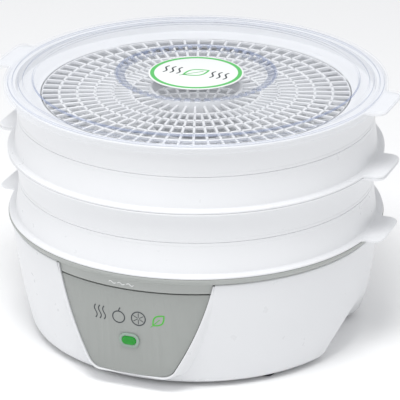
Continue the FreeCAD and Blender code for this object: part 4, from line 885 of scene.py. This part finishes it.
flange_top = LID_SEAT + LID_WALL
dish_level = LID_TOP - DISH_DROP
section = [
    (LID_RADIUS, LID_SEAT - LID_SKIRT), (LID_RADIUS, LID_SEAT), (LID_RADIUS, flange_top - 0.8 * MM),
    (LID_RADIUS - 0.25 * MM, flange_top - 0.25 * MM), (LID_RADIUS - 0.8 * MM, flange_top),
]
for number in range(4):
    edge = LID_RADIUS - (FIRST_RIDGE + RIDGE_PITCH * number) * MM
    rise = FINE_STEP * (number % 2)
    section += [(edge, flange_top + rise), (edge - 0.4 * MM, flange_top + FINE_STEP - rise)]
dome_foot = flange_top + DOME_RISE
section += [
    (STEP_MIDDLE + STEP_HALF, flange_top), (STEP_MIDDLE + 0.5 * MM, flange_top + 0.3 * MM),
    (STEP_MIDDLE - 0.5 * MM, dome_foot - 0.3 * MM), (STEP_MIDDLE - STEP_HALF, dome_foot),
]
for share in (0.25, 0.5, 0.75):
    radius = DOME_RADIUS + (CREST_RADIUS - DOME_RADIUS) * share
    section.append((radius, dome_foot + (LID_TOP - dome_foot) * share))
section += [
    (CREST_RADIUS + 1.2 * MM, LID_TOP - 0.1 * MM), (CREST_RADIUS, LID_TOP),
    (CREST_RADIUS - 0.7 * MM, LID_TOP - 0.3 * MM), (VENT_OUT, LID_TOP - 1.2 * MM),
    (DISH_RADIUS + 0.5 * MM, dish_level + 0.3 * MM), (DISH_RADIUS - 0.6 * MM, dish_level),
    (VENT_IN, dish_level), (DISH_RING, dish_level), (DISH_MIDDLE, dish_level),
]
pitch = 2 * math.pi / VENTS
vent_edges = [(number + side * VENT_SHARE / 2) * pitch for number in range(VENTS) for side in (-1, 1)]
lid_angles = tab_columns([edge % (2 * math.pi) for edge in vent_edges])
shared = with_share(section, lambda radius, level: radius > LID_RADIUS - MM)
lid_rows = turned_rows(shared, lid_angles, LID_REACH - LID_RADIUS + FLANGE)
# The skirt has gaps at the lid's tabs, so that it clears the tabs of the top tray.
skirt_row = lid_rows[0]
for column, (x, y, level) in enumerate(skirt_row):
    out = math.hypot(x, y) - LID_RADIUS
    if out > GAP_START:
        skirt_row[column] = (x, y, level + LID_SKIRT * min(out / GAP_RAMP, 1) * GAP_DEPTH)
lid = skin("lid_moulding", lid_rows)
form = bmesh.new()
form.from_mesh(lid.data)
open_cells = []
for face in form.faces:
    middle = face.calc_center_median()
    radius = math.hypot(middle.x, middle.y)
    turn = math.atan2(middle.x, -middle.y) / pitch
    if VENT_IN < radius < VENT_OUT and abs(turn - round(turn)) < VENT_SHARE / 2:
        open_cells.append(face)
bmesh.ops.delete(form, geom=open_cells, context="FACES")
last_row = [vert for vert in form.verts if math.hypot(vert.co.x, vert.co.y) < DISH_MIDDLE + 0.5 * MM]
bmesh.ops.contextual_create(form, geom=last_row)
bmesh.ops.recalc_face_normals(form, faces=form.faces)
form.to_mesh(lid.data)
form.free()
thicken(lid, LID_WALL)
finish_mesh(lid, angle=40)

# Clear polystyrene: water-clear with a cold cast, sharp gloss and faint flow waves.
clear_styrene, lid_tree, lid_shader = start_material(
    "clear_polystyrene", IOR=1.5, Base_Color=linear("DFE4EE"), Specular_IOR_Level=0.6
)
lid_place = add(lid_tree, "ShaderNodeTexCoord").outputs["Object"]
flow = noise(lid_tree, lid_place, 1000 / 30)
facing = add(lid_tree, "ShaderNodeLayerWeight", {"Blend": 0.35}).outputs["Facing"]
wire(lid_tree, lid_shader, {
    "Normal": bumps(lid_tree, flow, 0.3, 0.02 * MM),
    "Roughness": ranged(lid_tree, flow, 0.02, 0.06),
    "Alpha": ranged(lid_tree, facing, 0.02, 0.34, (0.3, 0.95)),
    "Base Color": ramp(lid_tree, facing, (linear("EEF2FA"), linear("9AA4BC")), (0.6, 1.0)),
})
settle(lid, clear_styrene, "lid", "clear_lid", "lid")

# The same clear plastic where it turns steeply, at the steps and the vents' edges: one looks along the wall
# there, so it shows as a thin blue-grey line.
clear_edge = moulded("clear_polystyrene_edge", "9CA8C6", 0.05, 0.12, 0.03, 2.0, 0.003, Alpha=0.42)
lid.data.materials.append(clear_edge)
for face in lid.data.polygons:
    if abs(face.normal.z) < STEEP and math.hypot(*face.center[:2]) < LID_RADIUS - EDGE_BAND:
        face.material_index = 1

# ---------------------------------------------------------------- Medallion
# A thin round plate glued into the dish, white with a green border and a printed leaf between waves of air.

label_low, label_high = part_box("lid_label")
LABEL_RADIUS = label_high.x
AXIS_HOLE = 0.01 * MM
BORDER_INSET, BORDER_WIDTH = 3.2 * MM, 3.4 * MM

label_section = rounded([
    (AXIS_HOLE, label_low.z, 0), (LABEL_RADIUS, label_low.z, 0.2 * MM),
    (LABEL_RADIUS, label_high.z, 0.4 * MM), (AXIS_HOLE, label_high.z, 0),
])
plate_rows = round_rows(label_section, 128)
plate = finish_mesh(skin("medallion_plate", plate_rows, closed_section=True), angle=40)
# Printed film over the plate: bright white and glossy.
label_gloss = moulded("label_gloss_white", "F3F6F4", 0.01, 0.18, 0.03, 3.0, 0.003)
settle(plate, label_gloss, "lid", "label_white", "lid_label")


def on_label(x, y):
    """A point just above the medallion."""
    return (x, y, label_high.z + INK)


border = ribbon(ring_line(0, 0, LABEL_RADIUS - BORDER_INSET, steps=96), BORDER_WIDTH, True)
midrib = ribbon([(t * MM, t * MM) for t in (-11, -6, 0, 5)], 1.0 * MM)
label_leaf = [border, ribbon(leaf_line(0, 0, 24 * MM), 1.8 * MM, True), midrib]
green_ring = printed("medallion_print_green", label_leaf, on_label)
settle(green_ring, ink("label_print_green", "57C063"), "lid", "label_white")
side_waves = [ribbon(wave(x * MM, 0, 16 * MM, 1.6 * MM), 1.5 * MM) for x in (-27, -21, -15, 15, 21, 27)]
dark_waves = printed("medallion_print_dark", side_waves, on_label)
settle(dark_waves, ink("label_print_dark", "42464A"), "lid", "label_white")

# ---------------------------------------------------------------- Floor, light and camera
# A plain pale floor, a soft light high in front, a wide weak one from the left and a pale room, as in a
# small product studio.

FLOOR_HALF = 6
ROOM_LIGHT = 0.72
AIM_LEVEL = 0.110
# Each lamp: degrees round from the front, degrees up, metres away, width in metres, watts.
LAMPS = {"key_light": (10, 66, 1.8, 0.7, 17), "left_fill": (-60, 20, 2.0, 1.2, 3.5)}
CAMERA_AZIMUTH, CAMERA_RISE, CAMERA_DISTANCE = math.radians(20.7), math.radians(22.58), 2.4
SENSOR_WIDTH, FOCAL_LENGTH, SIDE_SHIFT = 36, 250, 0.0098

near_edge, far_edge = [[(x, y, 0) for x in (-FLOOR_HALF, FLOOR_HALF)] for y in (-FLOOR_HALF, FLOOR_HALF)]
floor = skin("studio_floor", [near_edge, far_edge], closed_round=False)
# Matt white background paper, very slightly uneven.
floor_paper, floor_tree, floor_shader = start_material("matt_white_paper", Roughness=0.9)
paper_place = add(floor_tree, "ShaderNodeTexCoord").outputs["Object"]
paper_noise = noise(floor_tree, paper_place, 3.0)
paper_tones = ramp(floor_tree, paper_noise, (linear("FDFDFD"), linear("FFFFFF")))
wire(floor_tree, floor_shader, {"Base Color": paper_tones})
floor.data.materials.append(floor_paper)

room = bpy.data.worlds.new("pale_room")
bpy.context.scene.world = room
room.use_nodes = True
background = room.node_tree.nodes["Background"]
background.inputs["Color"].default_value = linear("F6F7F9")
background.inputs["Strength"].default_value = ROOM_LIGHT


def place_round(thing, azimuth, rise, distance):
    """Puts a lamp or camera at an angle round the object and turns it to look at its middle."""
    out = distance * math.cos(rise)
    thing.location = (
        out * math.sin(azimuth), -out * math.cos(azimuth), AIM_LEVEL + distance * math.sin(rise)
    )
    thing.rotation_euler = (math.pi / 2 - rise, 0, azimuth)


for name, (azimuth, rise, distance, width, power) in LAMPS.items():
    lamp = bpy.data.lights.new(name, "AREA")
    lamp.size = width
    lamp.energy = power
    place_round(new_object(name, lamp), math.radians(azimuth), math.radians(rise), distance)

lens = bpy.data.cameras.new("camera")
lens.sensor_width = SENSOR_WIDTH
lens.lens = FOCAL_LENGTH
lens.shift_x = SIDE_SHIFT
camera = new_object("camera", lens)
place_round(camera, CAMERA_AZIMUTH, CAMERA_RISE, CAMERA_DISTANCE)
bpy.context.scene.camera = camera
bpy.context.scene.view_settings.view_transform = "Standard"
